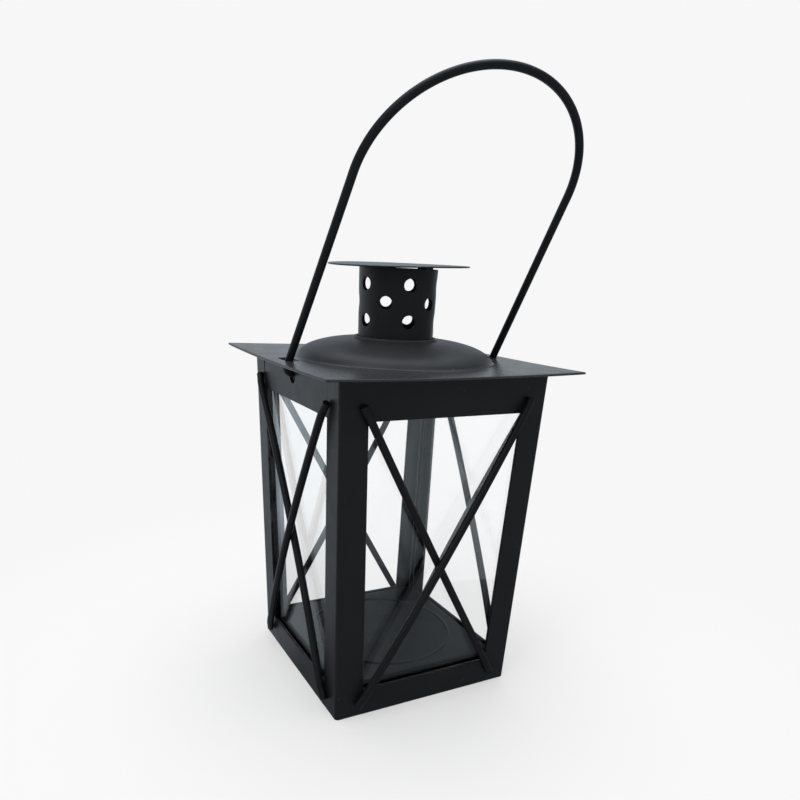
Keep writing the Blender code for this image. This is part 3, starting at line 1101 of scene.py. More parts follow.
@dataclass(frozen=True)
class Panes(SubAssembly):
    """Four glass panes with seamed edges, and the bent clips over their upper edges."""

    box: BoxShape
    finish: Finish
    clip_finish: Finish
    foot: float = 0.0013
    top: float = 0.0985
    seam: float = 0.0002
    clip_sheet: float = 0.0005
    clip_width: float = 0.005
    clip_inset: float = 0.0092
    clip_leg: float = 0.0055
    clip_lip: float = 0.004
    clip_bend: float = 0.00022
    clip_spacing: float = 0.00012
    clip_rounding: float = 0.0001
    rows: int = 9
    columns: int = 10
    clip_columns: int = 6

    def pane(self) -> Patch:
        """A pane on the front face: an upright strip as wide as the box inside the other panes.

        Returns:
            The closed patch.
        """
        box = self.box
        heights = self.foot + (self.top - self.foot) * paced(self.rows)
        line = joined(box.pane_back - box.pane_thickness / 2, heights)
        section = Section.strip(line, box.pane_thickness, self.seam)

        def place(deep: Array, height: Array, along: Array) -> Array:
            """Spreads the strip over the width at each height."""
            reach = box.half(height) - box.pane_back - box.fit
            return box.on_front(reach * (2 * along - 1), deep, height)

        return carried(section, Run.rounded(box.foot_width, self.seam, self.columns), place)

    def clip(self, side: float) -> Patch:
        """A clip on the front face: a strip bent back over the pane and down behind it.

        Args:
            side: minus one for the left clip and one for the right.

        Returns:
            The closed patch.
        """
        box, half = self.box, self.clip_sheet / 2
        face, inner = box.sheet + box.fit + half, box.pane_back + box.fit + half
        seat = self.top + box.fit
        corners = np.array([
            (face, seat + self.clip_leg),
            (face, seat + half),
            (inner, seat + half),
            (inner, self.top - self.clip_lip),
        ])
        line = softened(corners, self.clip_bend, self.clip_spacing)
        middle = side * (box.half(self.top) - box.flange - self.clip_inset)

        def place(depth: Array, height: Array, along: Array) -> Array:
            """Sets the clip about its middle on the face."""
            return box.on_front(middle + (along - 0.5) * self.clip_width, depth, height)

        section = Section.strip(line, self.clip_sheet, self.clip_rounding)
        run = Run.rounded(self.clip_width, self.clip_rounding, self.clip_columns)
        return carried(section, run, place)

    def pieces(self) -> Iterator[Piece]:
        """Each side's pane and its two clips.

        Returns:
            Each piece in turn.
        """
        pane, clips = self.pane(), {"left": self.clip(-1.0), "right": self.clip(1.0)}
        for face in Face:
            yield Piece(f"pane_{face.label}", [pane.turned(face.turn)], self.finish, Body.LANTERN,
                        (f"glass_pane_{face.label}",))
            for side, clip in clips.items():
                yield Piece(f"clip_{face.label}_{side}", [clip.turned(face.turn)], self.clip_finish,
                            Body.LANTERN, (f"pane_clip_{face.label}_{side}",))


@dataclass(frozen=True)
class CrossedRods(SubAssembly):
    """Two crossed rods on each face, pressed a little flat where their ends are welded."""

    box: BoxShape
    finish: Finish
    radius: float = 0.00125
    top_inset: float = 0.0070
    foot_inset: float = 0.0068
    top_drop: float = 0.0076
    foot_rise: float = 0.0037
    inner_bow: float = 0.0012
    flat_length: float = 0.005
    flat_share: float = 0.12
    rounding: float = 0.00025
    sides: int = 28
    steps: int = 44
    line_steps: int = 61

    def line(self, slope: Slope) -> Array:
        """A rod's middle line on the front face, from its upper to its lower end.

        Its bow is one less the square of the distance from the crossing, so that the
        rising rod passes outside the falling one.

        Args:
            slope: which of the two rods.

        Returns:
            The line's points.
        """
        share = np.linspace(0.0, 1.0, self.line_steps)
        top, foot = self.box.height - self.top_drop, self.foot_rise
        top_x = slope.value * (self.box.half(top) - self.top_inset)
        foot_x = -slope.value * (self.box.half(foot) - self.foot_inset)
        crossing = top_x / (top_x - foot_x)
        reach = np.where(share < crossing, crossing, 1.0 - crossing)
        bow = 1.0 - ((share - crossing) / reach) ** 2
        outer = 2 * self.radius + self.box.fit - self.inner_bow
        rise = outer if slope is Slope.RISING else -self.inner_bow
        depth = -(self.radius + self.box.fit) - rise * bow
        return self.box.on_front(top_x + share * (foot_x - top_x), depth, top + share * (foot - top))

    def rod(self, slope: Slope) -> Patch:
        """A rod whose section is widened, thinned and set down near both ends by the weld's pressure.

        The pressure falls off from each end as half of one plus the cosine.

        Args:
            slope: which of the two rods.

        Returns:
            The closed patch.
        """
        line = self.line(slope)
        length = lengths_along(line)[-1]
        run = Run.rounded(length, self.rounding, self.steps)
        course = Course.through(line, np.array([0.0, -1.0, 0.0]))
        patch, middle = course.carry(Section.wire(self.radius, self.sides), run), course.at(run)[0]
        share = np.clip(Run.from_end(run.along, length) / self.flat_length, 0.0, 1.0)
        seated = 0.5 + 0.5 * np.cos(np.pi * share)
        pressed = self.flat_share * seated
        factor = joined(1 + pressed, 1 - pressed, 1.0)[:, None]
        seat = joined(0.0, pressed * self.radius + seated * self.box.fit, 0.0)[:, None]
        return replace(patch, points=middle + (patch.points - middle) * factor + seat)

    def pieces(self) -> Iterator[Piece]:
        """Each side's falling and rising rod.

        Returns:
            Each rod in turn.
        """
        rods = {slope.name.lower(): self.rod(slope) for slope in Slope}
        for face in Face:
            for label, rod in rods.items():
                yield Piece(f"rod_{face.label}_{label}", [rod.turned(face.turn)], self.finish, Body.LANTERN,
                            (f"cross_rod_{face.label}_{label}",))


@dataclass(frozen=True)
class FloorTray(SubAssembly):
    """The pressed floor: a raised top with a beaded candle ring, a skirt and a foot flange."""

    box: BoxShape
    finish: Finish
    height: float = 0.0092
    shoulder: float = 0.0012
    ring_inset: float = 0.0049
    bead_height: float = 0.00042
    bead_width: float = 0.0005
    bead_span: float = 0.0013
    bead_clear: float = 0.0015
    # How much the ring bead's paint is lightened along its swell: a painted highlight.
    bead_painted_highlight: float = 0.9
    shoulder_wear: float = 0.6
    fillet: float = 0.0006
    inner_bend: float = 0.0004
    corner: float = 0.0016
    sides: int = 160
    bead_steps: int = 17
    inner_steps: int = 14
    outer_steps: int = 8
    fillet_steps: int = 5

    def sheet(self) -> PressedSheet:
        """The loops from the top's middle over the ring, the skirt and the flange round to below it.

        Returns:
            The loops, of which only those of the ring and its inside are round.
        """
        box, sheet = self.box, self.box.sheet
        inset = box.pane_back + box.fit
        low, high = box.half(0.0) - inset, box.half(self.height) - inset
        ring, foot = high - self.ring_inset, box.half(0.0) - sheet - box.fit
        flat, under = high - self.shoulder, self.height - sheet
        bead = np.linspace(ring - self.bead_span, ring + self.bead_span, self.bead_steps)
        inner = np.linspace(0.0, ring - self.bead_clear, self.inner_steps)
        outer = np.linspace(ring + self.bead_clear, flat, self.outer_steps)
        top = np.concatenate([inner, bead, outer])
        swell = bell(top - ring, self.bead_width)
        shoulder = arc((flat, self.height - self.shoulder), self.shoulder, QUARTER, 0.0, ROUND_STEPS)[1:]
        root = (low + self.fillet, sheet + self.fillet)
        skirt = arc(root, self.fillet, np.pi, 1.5 * np.pi, self.fillet_steps)
        rim = arc((foot - sheet / 2, sheet / 2), sheet / 2, QUARTER, -QUARTER, ROUND_STEPS)
        below = np.array([
            (low - sheet, 0.0),
            (high - sheet - self.inner_bend, under - self.fillet),
            (flat - sheet, under),
            (ring, under),
            (0.0, under),
        ])
        face = joined(top, self.height + self.bead_height * swell)
        loop = np.concatenate([face, shoulder, skirt, rim, below])
        square = np.ones(len(loop))
        square[: len(top)] = np.clip((top - bead[-1]) / (flat - bead[-1]), 0.0, 1.0)
        square[-2:] = 0.0
        wear = (self.shoulder_wear, 0.0, 1.0, 0.0)
        counts = (len(shoulder), len(skirt), len(rim), len(below))
        # Painted highlight along the ring bead; wear on the shoulder and on the foot flange's rim.
        edge = np.concatenate([self.bead_painted_highlight * swell, np.repeat(wear, counts)])
        return PressedSheet(square, *loop.T, edge)

    def pieces(self) -> Iterator[Piece]:
        """The floor alone."""
        yield Piece("floor_tray", [self.sheet().patch(self.corner, self.sides, False)], self.finish,
                    Body.LANTERN, ("floor_pan",))


@dataclass(frozen=True)
class Bail(SubAssembly):
    """The wire bail: two hooks, two long legs that lean together and an oval arch.

    Each rub is a place near both tips where the paint is worn: how much, how far from
    the tip, and its reach along the wire.
    """

    box: BoxShape
    finish: Finish
    radius: float = 0.0013
    clearance: float = 0.0012
    narrowing: float = 0.0025
    leg_length: float = 0.0712
    arch_height: float = 0.0368
    bend_radius: float = 0.0024
    lean: float = math.radians(33.5)
    hook_reach: float = 0.0025
    rounding: float = 0.0004
    kink_soft: float = 0.0008
    spacing: float = 0.0004
    rubs: tuple[Triple, ...] = ((0.9, 0.0055, 0.0035), (0.75, 0.0105, 0.0022))
    sides: int = 32
    steps: int = 260
    bend_steps: int = 14
    crown_steps: int = 70

    @property
    def foot_half(self) -> float:
        """Half the distance between the legs at their pivots."""
        return self.box.half(self.box.pivot_height) + self.clearance + self.radius

    def line(self) -> Array:
        """The bail's middle line in its own plane, from one hook's tip to the other's.

        The bends are quarter circles, the legs straight, and the arch is half an oval.

        Returns:
            Points across and up the plane.
        """
        shoulder = self.foot_half - self.narrowing
        tip = -(self.box.half(self.box.pivot_height) - self.box.sheet - self.hook_reach)
        bent = self.bend_radius
        bend = arc((bent - self.foot_half, bent), bent, -QUARTER, -np.pi, self.bend_steps)
        crown = arc((0.0, 0.0), 1.0, np.pi, QUARTER, self.crown_steps)
        crown = crown * (shoulder, self.arch_height) + (0.0, self.leg_length)
        half = np.concatenate([[[tip, 0.0]], bend, crown])
        return softened(np.concatenate([half, (half * (-1.0, 1.0))[::-1][1:]]), self.kink_soft, self.spacing)

    def pieces(self) -> Iterator[Piece]:
        """The bail alone, leaning as it does at rest.

        Returns:
            Each piece in turn.
        """
        across, up = self.line().T
        cos, sin = math.cos(self.lean), math.sin(self.lean)
        line = joined(across, -sin * up, self.box.pivot_height + cos * up)
        length = lengths_along(line)[-1]
        run = Run.rounded(length, self.rounding, self.steps)
        end = Run.from_end(run.along, length)
        rub = sum(amount * bell(end - middle, reach) for amount, middle, reach in self.rubs)
        run = replace(run, edge=np.maximum(run.edge, rub))
        course = Course.through(line, np.array([0.0, -cos, -sin]))
        wire = course.carry(Section.wire(self.radius, self.sides), run)
        yield Piece("bail_wire", [wire], self.finish, Body.BAIL, ("bail",))


@dataclass(frozen=True)
class RoofSheet(SubAssembly):
    """The loose roof: a thin square plate with turned-up corners, a pressed dome and a collar."""

    box: BoxShape
    finish: Finish
    bail: Bail
    overhang: float = 0.00815
    sheet: float = 0.0008
    corner_lift: float = 0.0006
    corner: float = 0.0004
    squarish: float = 0.8
    square_margin: float = 0.004
    dome_radius: float = 0.034
    dome_height: float = 0.0068
    dome_spacing: float = 0.00032
    fullness: float = 1.9
    rim_soft: float = 0.0007
    flat_start: float = 0.0024
    flat_end: float = 0.0015
    hole_radius: float = 0.0133
    neck_radius: float = 0.0147
    lip_height: float = 0.0006
    collar_radius: float = 0.00055
    collar_drop: float = 0.00035
    # How much the collar's paint is lightened: a painted highlight on its lip.
    collar_painted_highlight: float = 0.75
    collar_soft: float = 0.00022
    collar_spacing: float = 0.00014
    collar_end: float = math.radians(-30.0)
    collar_steps: int = 14
    collar_skip: int = 2
    collar_blend: int = 10
    dome_steps: int = 80
    plate_steps: int = 9
    rim_steps: int = 9
    slot_width: float = 0.0048
    slot_shift: float = 0.00105
    slot_corner: float = 0.0014
    slot_cut: float = 0.004
    slot_start: float = 0.6
    slot_sides: int = 48
    clearance: float = 0.0003
    sides: int = 176

    @property
    def half(self) -> float:
        """Half the plate's width."""
        return self.box.top_width / 2 + self.overhang

    @property
    def plate_top(self) -> float:
        """The height of the plate's upper side."""
        return self.box.height + self.box.fit + self.sheet

    @property
    def dome_top(self) -> float:
        """The height of the dome round the neck."""
        return self.plate_top + self.dome_height

    @property
    def neck_top(self) -> float:
        """The height of the lip round the chimney."""
        return self.dome_top + self.lip_height

    def upper_line(self) -> Array:
        """Radius and height of the upper side, from the neck over the dome to the plate.

        The dome is a quarter of a squarish oval between the neck and its rim, and its
        foot is softened into the plate.

        Returns:
            The line's points.
        """
        oval = np.clip(arc((0.0, 0.0), 1.0, QUARTER, 0.0, self.dome_steps), 0.0, 1.0) ** (2 / self.fullness)
        start = (self.neck_radius, self.plate_top)
        dome = oval * (self.dome_radius - self.neck_radius, self.dome_height) + start
        flat = [[self.dome_radius + self.flat_start, self.plate_top]]
        return softened(np.concatenate([dome, flat]), self.rim_soft, self.dome_spacing)

    def plate(self) -> PressedSheet:
        """The closed loop round the sheet: collar, dome, plate, rim and back along the underside.

        Returns:
            The loops, which turn from round to square outside the dome.
        """
        hub = (self.hole_radius + GUARD + self.collar_radius, self.neck_top - self.collar_drop)
        collar = arc(hub, self.collar_radius, np.pi, self.collar_end, self.collar_steps)
        upper = self.upper_line()
        skip = self.collar_skip
        joint = np.concatenate([collar[-skip:], upper[skip: self.collar_blend]])
        blend = softened(joint, self.collar_soft, self.collar_spacing)
        along = directions(upper)
        lower = upper - self.sheet * joined(-along[:, 1], along[:, 0])
        lower = lower[lower[:, 0] < self.dome_radius + self.flat_start - GUARD]
        reach = np.linspace(upper[-1, 0], self.half - self.flat_end, self.plate_steps)[1:]
        reach = np.concatenate([reach, [self.half - self.sheet, self.half - self.sheet / 2]])
        cos, sin = arc((0.0, 0.0), 1.0, QUARTER, -QUARTER, self.rim_steps)[1:-1].T
        rim = joined(self.half, self.plate_top) - self.sheet / 2 * (1 - joined(cos ** self.squarish, sin))
        over = joined(reach, self.plate_top)
        under = over[::-1] - (0.0, self.sheet)
        upper = upper[self.collar_blend:]
        loop = np.concatenate([collar[:-skip], blend, upper, over, rim, under, lower[::-1]])
        start = upper[-1, 0]
        square = np.clip((loop[:, 0] - start) / (self.half - self.square_margin - start), 0.0, 1.0)
        edge = nearness(self.half - loop[:, 0], RIM_WEAR_REACH)
        # Painted highlight: the whole collar gets one high edge value, which lightens its paint like light on
        # the lip.
        edge[: len(collar)] = self.collar_painted_highlight
        return PressedSheet(square, *loop.T, edge)

    def slot(self, side: float) -> Patch:
        """The cutter of a slot with rounded corners, just long enough for the bail's leg at either lean.

        Args:
            side: minus one for the left slot and one for the right.

        Returns:
            The closed patch.
        """
        rise = self.plate_top - self.box.pivot_height
        reach = rise * math.tan(self.bail.lean) + self.bail.radius / math.cos(self.bail.lean) + self.clearance
        turn = full_turn(self.slot_sides) + np.pi / self.slot_sides
        corner = self.slot_corner * joined(np.cos(turn), np.sin(turn))
        room = np.array([self.slot_width / 2, reach]) - self.slot_corner
        middle = side * (self.bail.foot_half - self.slot_shift)

        def place(across: Array, deep: Array, along: Array) -> Array:
            """Sets the cutter upright through the plate."""
            return joined(middle + across, deep, self.plate_top + (along - self.slot_start) * self.slot_cut)

        return carried(Section.outline(np.sign(corner) * room + corner), Run.plain(), place)

    def pieces(self) -> Iterator[Piece]:
        """The roof sheet alone, whose corners rise by the fourth power of how far out they are.

        Returns:
            Each piece in turn.
        """
        patch = self.plate().patch(self.corner, self.sides, True)
        x, y, z = np.moveaxis(patch.points, -1, 0)
        sheet = replace(patch, points=joined(x, y, z + self.corner_lift * (x * y / self.half ** 2) ** 2))
        yield Piece("roof_sheet", [sheet], self.finish, Body.ROOF, ("roof_plate",),
                    [self.slot(-1.0), self.slot(1.0)])


@dataclass(frozen=True)
class Chimney(SubAssembly):
    """The pierced chimney, dented round its vents, and the bent rain cap on its tabs."""

    roof: RoofSheet
    finish: Finish
    cap_finish: Finish
    top_radius: float = 0.01365
    foot_radius: float = 0.0130
    sheet: float = 0.0008
    height: float = 0.0239
    flare: float = 0.0016
    lip: float = 0.00035
    vent_radius: float = 0.0023
    rows: int = 3
    per_row: int = 5
    vent_drop: float = 0.0057
    row_pitch: float = 0.0061
    first_angle: float = math.radians(-10.0)
    vent_cut: float = 0.005
    vent_cut_inside: float = 0.0028
    vent_sides: int = 36
    dent: float = 0.00032
    dent_reach: float = 0.0022981
    dent_limit: float = 0.0143
    tabs: int = 4
    tab_width: float = 0.0036
    tab_sheet: float = 0.00048
    tab_spread: float = 0.7
    tab_sink: float = 0.0007
    tab_rounding: float = 0.0001
    tab_angle: float = math.radians(21.0)
    tab_columns: int = 7
    tab_rows: int = 8
    cap_rise: float = 0.0008
    cap_radius: float = 0.0245
    cap_sheet: float = 0.0005
    cap_tilt: float = math.radians(2.0)
    cap_lean: float = math.radians(0.9)
    cap_twist: float = math.radians(0.6)
    cap_facing: float = math.radians(-28.76)
    cap_rings: int = 14
    wall_rows: int = 44
    sides: int = 144

    @property
    def rim(self) -> float:
        """The height of the chimney's rim."""
        return self.roof.neck_top + self.height

    def vents(self) -> Array:
        """The turn and height of every vent: rows turned by half a pitch against each other.

        Returns:
            Turn and height, one vent a row.
        """
        row, index = np.meshgrid(np.arange(self.rows), np.arange(self.per_row), indexing="ij")
        turn = self.first_angle + (row % 2) * np.pi / self.per_row + index * 2 * np.pi / self.per_row
        return joined(turn, self.rim - self.vent_drop - row * self.row_pitch).reshape(-1, 2)

    def wall_radius(self, height: Array | float) -> Array | float:
        """The wall's outer radius, which grows a little from the neck to the rim."""
        share = np.clip((height - self.roof.neck_top) / self.height, 0.0, 1.0)
        return self.foot_radius + (self.top_radius - self.foot_radius) * share

    def tube(self) -> Patch:
        """The wall and its flared foot, pushed in by a bell-shaped dent round each vent.

        Returns:
            The closed patch.
        """
        roof, brim = self.roof, self.rim - GUARD
        heights = brim - (brim - roof.neck_top) * np.linspace(0.0, 1.0, self.wall_rows)
        outer = joined(self.wall_radius(heights), heights)
        flare, flare_top = roof.hole_radius + self.flare, roof.dome_top - roof.sheet - roof.clearance
        foot = np.array([
            (self.foot_radius, flare_top),
            (flare, flare_top),
            (flare, flare_top - self.sheet),
            (self.foot_radius - self.sheet, flare_top - self.sheet),
        ])
        inner = (outer - (self.sheet, 0.0))[::-1]
        cos, sin = arc((0.0, 0.0), 1.0, 0.0, np.pi, ROUND_STEPS)[1:-1].T
        top = np.minimum(brim + self.lip * sin, self.rim)
        lip = joined(self.top_radius - self.sheet / 2 * (1 + cos), top)
        profile = np.concatenate([outer, foot, inner, lip[::-1]])
        patch = spun(*profile.T, nearness(np.abs(self.rim - profile[:, 1])), self.sides)
        x, y, z = np.moveaxis(patch.points, -1, 0)
        radius = np.hypot(x, y)
        turn, height = self.vents().T
        apart = (np.arctan2(x, -y)[..., None] - turn + np.pi) % (2 * np.pi) - np.pi
        far = np.hypot(apart * self.foot_radius, z[..., None] - height)
        push = self.dent * bell(far, self.dent_reach).sum(axis=-1)
        factor = 1.0 - push * (z > roof.neck_top) * (radius < self.dent_limit) / radius
        return replace(patch, points=joined(x * factor, y * factor, z))

    def vent(self, turn: float, height: float) -> Patch:
        """The cutter of a vent, a short round bar through the wall.

        Args:
            turn: the vent's turn about the upright axis.
            height: its height.

        Returns:
            The closed patch.
        """
        start = float(self.wall_radius(height)) - self.vent_cut_inside

        def place(across: Array, up: Array, along: Array) -> Array:
            """Sets the cutter level through the wall in front."""
            return joined(across, -(start + self.vent_cut * along), height + up)

        return carried(Section.wire(self.vent_radius, self.vent_sides), Run.plain(), place).turned(turn)

    def cap_middle(self, x: Array | float, y: Array | float) -> Array | float:
        """The height of the bent cap's middle: it tilts towards one side, leans across and is twisted.

        Args:
            x: the points' x.
            y: the points' y.

        Returns:
            The heights.
        """
        cos, sin = math.cos(self.cap_facing), math.sin(self.cap_facing)
        across, near = x * cos + y * sin, x * sin - y * cos
        tilt = self.cap_tilt - self.cap_twist * across / self.cap_radius
        base = self.rim + self.cap_rise + self.cap_sheet / 2
        return base - near * np.tan(tilt) + across * math.tan(self.cap_lean)

    def cap(self) -> Patch:
        """The rain cap: a thin disc with a rounded edge that follows the bent middle surface.

        Returns:
            The closed patch.
        """
        half = self.cap_sheet / 2
        top = joined(self.cap_radius * np.linspace(0.0, 1.0, self.cap_rings)[:-1], half)
        rim = arc((self.cap_radius - half, 0.0), half, QUARTER, -QUARTER, ROUND_STEPS)
        profile = np.concatenate([top, rim, (top * (1.0, -1.0))[::-1]])
        edge = nearness(self.cap_radius - profile[:, 0], RIM_WEAR_REACH)
        patch = spun(*profile.T, edge, self.sides, False)
        x, y, z = np.moveaxis(patch.points, -1, 0)
        return replace(patch, points=joined(x, y, z + self.cap_middle(x, y)))

    def tab(self, index: int) -> Patch:
        """A rim tab: a narrow strip that widens towards the rim and ends under the cap.

        Args:
            index: which of the tabs.

        Returns:
            The closed patch.
        """
        angle = self.tab_angle + 2 * np.pi * index / self.tabs
        line = joined(self.tab_width * (paced(self.tab_columns) - 0.5), 0.0)
        depth = self.top_radius - self.sheet / 2
        top = self.cap_middle(depth * math.sin(angle), -depth * math.cos(angle)) - self.cap_sheet / 2
        low = self.rim - self.tab_sink

        def place(across: Array, deep: Array, along: Array) -> Array:
            """Sets the tab upright in the wall in front."""
            wide = across * (1.0 + self.tab_spread * (1.0 - along) ** 2)
            return joined(wide, deep - depth, low + (top - low) * along)

        section = Section.strip(line, self.tab_sheet, self.tab_rounding)
        run = Run.rounded(top - low, self.tab_rounding, self.tab_rows)
        return carried(section, run, place).turned(angle)

    def pieces(self) -> Iterator[Piece]:
        """The wall, its tabs and the cap.

        Returns:
            Each piece in turn.
        """
        vents = [self.vent(turn, height) for turn, height in self.vents()]
        tabs = [self.tab(index) for index in range(self.tabs)]
        yield Piece("chimney_tube", [self.tube()], self.finish, Body.ROOF, ("chimney",), vents)
        yield Piece("chimney_tabs", tabs, self.finish, Body.ROOF, ())
        yield Piece("cap_disc", [self.cap()], self.cap_finish, Body.ROOF, ("rain_cap",))


# Studio


def facing(back: Array, place: Triple, roll: float = 0.0) -> Matrix:
    """Where a lamp or camera stands and how it is turned.

    Right is the roll's cosine times level plus its sine times upright, and up is the
    cosine times upright less the sine times level.

    Args:
        back: the direction that it looks away from.
        place: where it stands.
        roll: its turn about the line of sight, in radians.

    Returns:
        Its matrix in the world.
    """
    back = back / np.linalg.norm(back)
    level = np.cross((0.0, 0.0, 1.0), back)
    level /= np.linalg.norm(level)
    upright = np.cross(back, level)
    cos, sin = math.cos(roll), math.sin(roll)
    view = np.eye(4)
    view[:3] = joined(*np.array([cos * level + sin * upright, cos * upright - sin * level, back, place]))
    return Matrix(view.tolist())


@dataclass(frozen=True)
class Lamp:
    """A soft oblong lamp over the lantern, with its power in watts."""

    name: str
    place: Triple
    size: tuple[float, float]
    power: float
    aim: Triple = (0.0, 0.0, 0.08)

    def hang(self) -> None:
        """Adds the lamp to the scene, facing its aim."""
        data = bpy.data.lights.new(self.name, "AREA")
        data.shape = "RECTANGLE"
        data.size, data.size_y = self.size
        data.energy = self.power
        linked(self.name, data).matrix_world = facing(np.array(self.place) - np.array(self.aim), self.place)


@dataclass(frozen=True)
class Fade:
    """A level that changes smoothly between two values of something, and holds beyond."""

    low: float
    high: float
    bottom: float = 0.0
    top: float = 1.0

    def at(self, bench: NodeBench, value: Socket) -> Socket:
        """The level at a value."""
        return bench.ramp(value, self.low, self.high, self.bottom, self.top)


@dataclass(frozen=True)
class Sight:
    """What kind of ray is looking: four shares, each 0 or 1."""

    camera: Socket
    through: Socket
    mirror: Socket
    dull: Socket

    @classmethod
    def of(cls, bench: NodeBench) -> "Sight":
        """Tells apart the camera, a look through glass, a sharp mirroring and a dull sheen.

        A look through glass that starts on a sheen counts as the sheen.

        Args:
            bench: the bench to work on.

        Returns:
            The shares.
        """
        path = bench.add("ShaderNodeLightPath").outputs
        glass, sharp = path["Is Transmission Ray"], path["Is Singular Ray"]
        bounced = bench.math("MINIMUM", path["Glossy Depth"], 1.0)
        through = bench.math("MULTIPLY", glass, bench.math("SUBTRACT", 1.0, bounced))
        mirror = bench.math("MULTIPLY", sharp, bench.math("SUBTRACT", 1.0, glass))
        sheen = bench.math("MULTIPLY", path["Is Glossy Ray"], bench.math("SUBTRACT", 1.0, sharp))
        sheen = bench.math("MAXIMUM", sheen, bench.math("MULTIPLY", glass, bounced))
        return cls(path["Is Camera Ray"], through, mirror, sheen)

    def level(self, bench: NodeBench, rest: float, *levels: object) -> Socket:
        """One level for each kind of ray, and another for the rays that only light.

        Args:
            bench: the bench to work on.
            rest: the level for the rest.
            levels: the camera's, the one through glass, in a mirroring and in a sheen.

        Returns:
            The level for the ray at hand.
        """
        level = rest
        for share, value in zip((self.camera, self.through, self.mirror, self.dull), levels):
            level = bench.add("ShaderNodeMix", {0: share, 2: level, 3: value}).outputs[0]
        return level


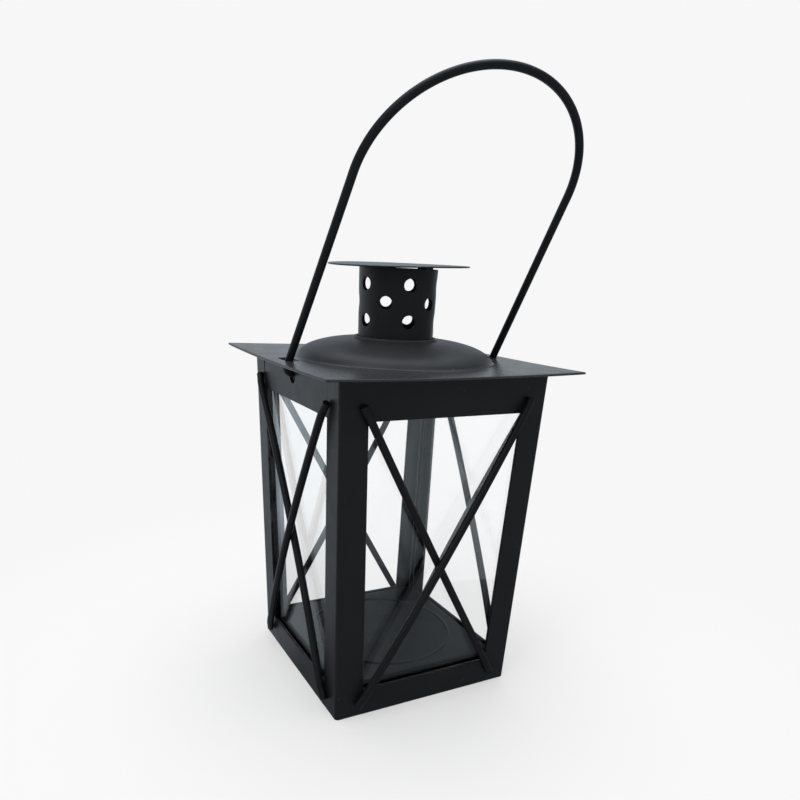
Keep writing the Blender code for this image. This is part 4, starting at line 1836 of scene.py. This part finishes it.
@dataclass(frozen=True)
class Studio:
    """The pale floor, the soft lights and the camera at the photograph's viewing angle.

    What shows in a sheen is dark, with a band along the horizon that is bright behind
    the lantern and fades out before it, and a bright spot overhead. On the floor every
    level depends on how far from the lantern it is; in mirrorings and sheens the floor
    near the lantern is darker, a painted shade.
    """

    background: float = 0.93
    through_glass: float = 1.02
    mirrored: float = 1.05
    fill: float = 0.83
    white: Triple = (1.0, 1.0, 1.0)
    mirror_colour: Triple = (0.78, 0.93, 1.0)
    dull_colour: Triple = (0.85, 0.925, 1.0)
    sheen_dark: float = 0.32
    sheen_behind: float = 0.50
    sheen_side: Triple = (-0.05, 0.99, 0.1)
    band_round: Fade = Fade(0.0, 0.85)
    band_height: Fade = Fade(0.15, 0.5, 1.0, 0.0)
    overhead: Fade = Fade(0.55, 0.95, 0.0, 2.2)
    # Painted shade: in mirrorings and sheens the floor is darker near the lantern.
    floor_mirrored_painted_shade: Fade = Fade(0.08, 0.18, 0.22, 1.05)
    floor_sheen_painted_shade: Fade = Fade(0.03, 0.4, 0.66, 0.92)
    floor_seen: Fade = Fade(0.04, 0.20, 0.45, 1.0)
    floor_behind_glass: Fade = Fade(0.04, 0.20, 0.90, 1.0)
    floor_radius: float = 4.0
    floor_rings: int = 24
    floor_sides: int = 72
    floor_drop: float = 0.00005
    floor_roughness: float = 0.9
    lamps: tuple[Lamp, ...] = (
        Lamp("window_left", (-1.9, -0.5, 1.6), (1.5, 1.8), 13.0),
        Lamp("overhead", (0.2, 0.5, 2.4), (1.9, 1.9), 15.0),
    )
    azimuth: float = math.radians(-28.460)
    elevation: float = math.radians(6.212)
    roll: float = math.radians(2.817)
    position: Triple = (-0.12270, -0.22146, 0.13757)
    lens: float = 32.790
    sensor: float = 36.0
    shift: tuple[float, float] = (0.01519, -0.05980)
    clip: tuple[float, float] = (0.01, 50.0)

    def sheen(self, bench: NodeBench, direction: Socket) -> Socket:
        """How bright the surround looks in a dull sheen.

        Args:
            bench: the bench to work on.
            direction: where the sheen looks, as a unit vector.

        Returns:
            The level.
        """
        share = bench.vector("DOT_PRODUCT", direction, self.sheen_side)["Value"]
        height = bench.add("ShaderNodeSeparateXYZ", {0: direction}).outputs["Z"]
        band = bench.math("MULTIPLY", self.band_round.at(bench, share), self.band_height.at(bench, height))
        band = bench.math("MULTIPLY", band, self.sheen_behind)
        return bench.math("ADD", self.sheen_dark, bench.math("ADD", band, self.overhead.at(bench, height)))

    def tinted(self, bench: NodeBench, sight: Sight) -> Socket:
        """White, but cooler in a mirroring and in a sheen."""
        cooled = bench.tint(sight.mirror, self.white, self.mirror_colour)
        return bench.tint(sight.dull, cooled, self.dull_colour)

    def world(self) -> None:
        """A white surround for what is seen, a graded one for sheen and a softer one that lights."""
        world = bpy.data.worlds.new("studio")
        world.use_nodes = True
        bpy.context.scene.world = world
        bench = NodeBench(world.node_tree)
        sight = Sight.of(bench)
        sheen = self.sheen(bench, bench.add("ShaderNodeTexCoord").outputs["Generated"])
        level = sight.level(bench, self.fill, self.background, self.through_glass, self.mirrored, sheen)
        values = {"Color": self.tinted(bench, sight), "Strength": level}
        bench.feed(world.node_tree.nodes["Background"], values)

    def floor_material(self) -> bpy.types.Material:
        """A dull pale surface that keeps the shadow, mixed with the white that other rays see.

        Returns:
            The material.
        """
        material = bpy.data.materials.new("pale_floor")
        material.use_nodes = True
        bench, nodes = NodeBench(material.node_tree), material.node_tree.nodes
        shader = nodes["Principled BSDF"]
        bench.feed(shader, {"Base Color": opaque((self.background,) * 3), "Roughness": self.floor_roughness,
                            "Specular IOR Level": 0.0})
        place = bench.position()
        distance = bench.vector("LENGTH", place)["Value"]
        direction = bench.vector("NORMALIZE", place)["Vector"]
        sight = Sight.of(bench)
        # Painted shade round the lantern's foot, as seen in mirrorings and sheens.
        mirror = self.floor_mirrored_painted_shade.at(bench, distance)
        sheen = bench.math("MULTIPLY", self.sheen(bench, direction), self.floor_sheen_painted_shade.at(bench, distance))
        level = sight.level(bench, self.background, self.background, self.through_glass, mirror, sheen)
        white = bench.add("ShaderNodeEmission", {"Color": self.tinted(bench, sight), "Strength": level})
        share = bench.math(
            "MAXIMUM",
            bench.math("MULTIPLY", self.floor_seen.at(bench, distance), sight.camera),
            bench.math("MULTIPLY", self.floor_behind_glass.at(bench, distance), sight.through),
        )
        share = bench.math("MAXIMUM", share, bench.math("MAXIMUM", sight.mirror, sight.dull))
        mixed = bench.add("ShaderNodeMixShader", {0: share, 1: shader.outputs["BSDF"], 2: white.outputs[0]})
        bench.feed(nodes["Material Output"], {"Surface": mixed.outputs[0]})
        return material

    def floor(self) -> None:
        """A round floor whose points lie on rings that grow as the square of their number."""
        ring = np.linspace(0.0, 1.0, self.floor_rings) ** 2 * self.floor_radius
        zero = np.zeros(len(ring))
        patch = spun(ring, zero - self.floor_drop, zero, self.floor_sides, False)
        floor = linked("studio_floor", mesh_of("studio_floor", [patch]))
        floor.data.materials.append(self.floor_material())

    def camera(self) -> None:
        """The camera, whose line of sight follows from its azimuth and elevation."""
        back = np.array([
            math.sin(self.azimuth) * math.cos(self.elevation),
            -math.cos(self.azimuth) * math.cos(self.elevation),
            math.sin(self.elevation),
        ])
        data = bpy.data.cameras.new("viewpoint")
        data.lens, data.sensor_width = self.lens, self.sensor
        data.shift_x, data.shift_y = self.shift
        data.clip_start, data.clip_end = self.clip
        camera = linked("viewpoint", data)
        camera.matrix_world = facing(back, self.position, self.roll)
        bpy.context.scene.camera = camera

    def build(self) -> None:
        """Sets up the view, the surround, the floor, the lamps and the camera."""
        bpy.context.scene.view_settings.view_transform = "Standard"
        self.world()
        self.floor()
        for lamp in self.lamps:
            lamp.hang()
        self.camera()


def main() -> None:
    """Builds the lantern's sub-assemblies in order, and then the studio."""
    logging.basicConfig(level=logging.INFO, format="%(name)s: %(message)s")
    box = BoxShape()
    frame_paint = BlackPaint("satin_frame_paint", "frame_black")
    rod_paint = BlackPaint("rod_paint", "rod_black", specular=0.16, wear=0.45)
    floor_paint = BlackPaint("floor_paint", "floor_black", roughness=0.45, specular=0.2,
                             film=0.04, specks=0.6)
    # The roof's paint is the frame's black made about four times lighter: painted light from above on its
    # upward faces.
    roof_paint_lit_from_above = BlackPaint("roof_paint_lit_from_above", "roof_black", (0.024, 0.0255, 0.028), (0.031, 0.033, 0.036),
                            roughness=0.29, specular=0.19, specks=0.35, peel_depth=0.00002,
                            drawn_radius=0.035, drawn_dullness=0.17)
    chimney_paint = BlackPaint("chimney_paint", "chimney_black", roughness=0.38)
    cap_paint = BlackPaint("cap_paint", "cap_black", roughness=0.34, specular=0.26)
    wire_paint = BlackPaint("bail_paint", "wire_black", specular=0.14, wear=0.55)
    bail = Bail(box, wire_paint)
    roof = RoofSheet(box, roof_paint_lit_from_above, bail)
    assemblies = (
        CornerPosts(box, frame_paint),
        Rails(box, frame_paint),
        Panes(box, PaneGlass(), ClipSteel()),
        CrossedRods(box, rod_paint),
        FloorTray(box, floor_paint),
        roof,
        Chimney(roof, chimney_paint, cap_paint),
        bail,
    )
    for assembly in assemblies:
        LOG.info("%s: %d pieces", type(assembly).__name__, len(assembly.build()))
    Studio().build()


if __name__ == "__main__":
    main()
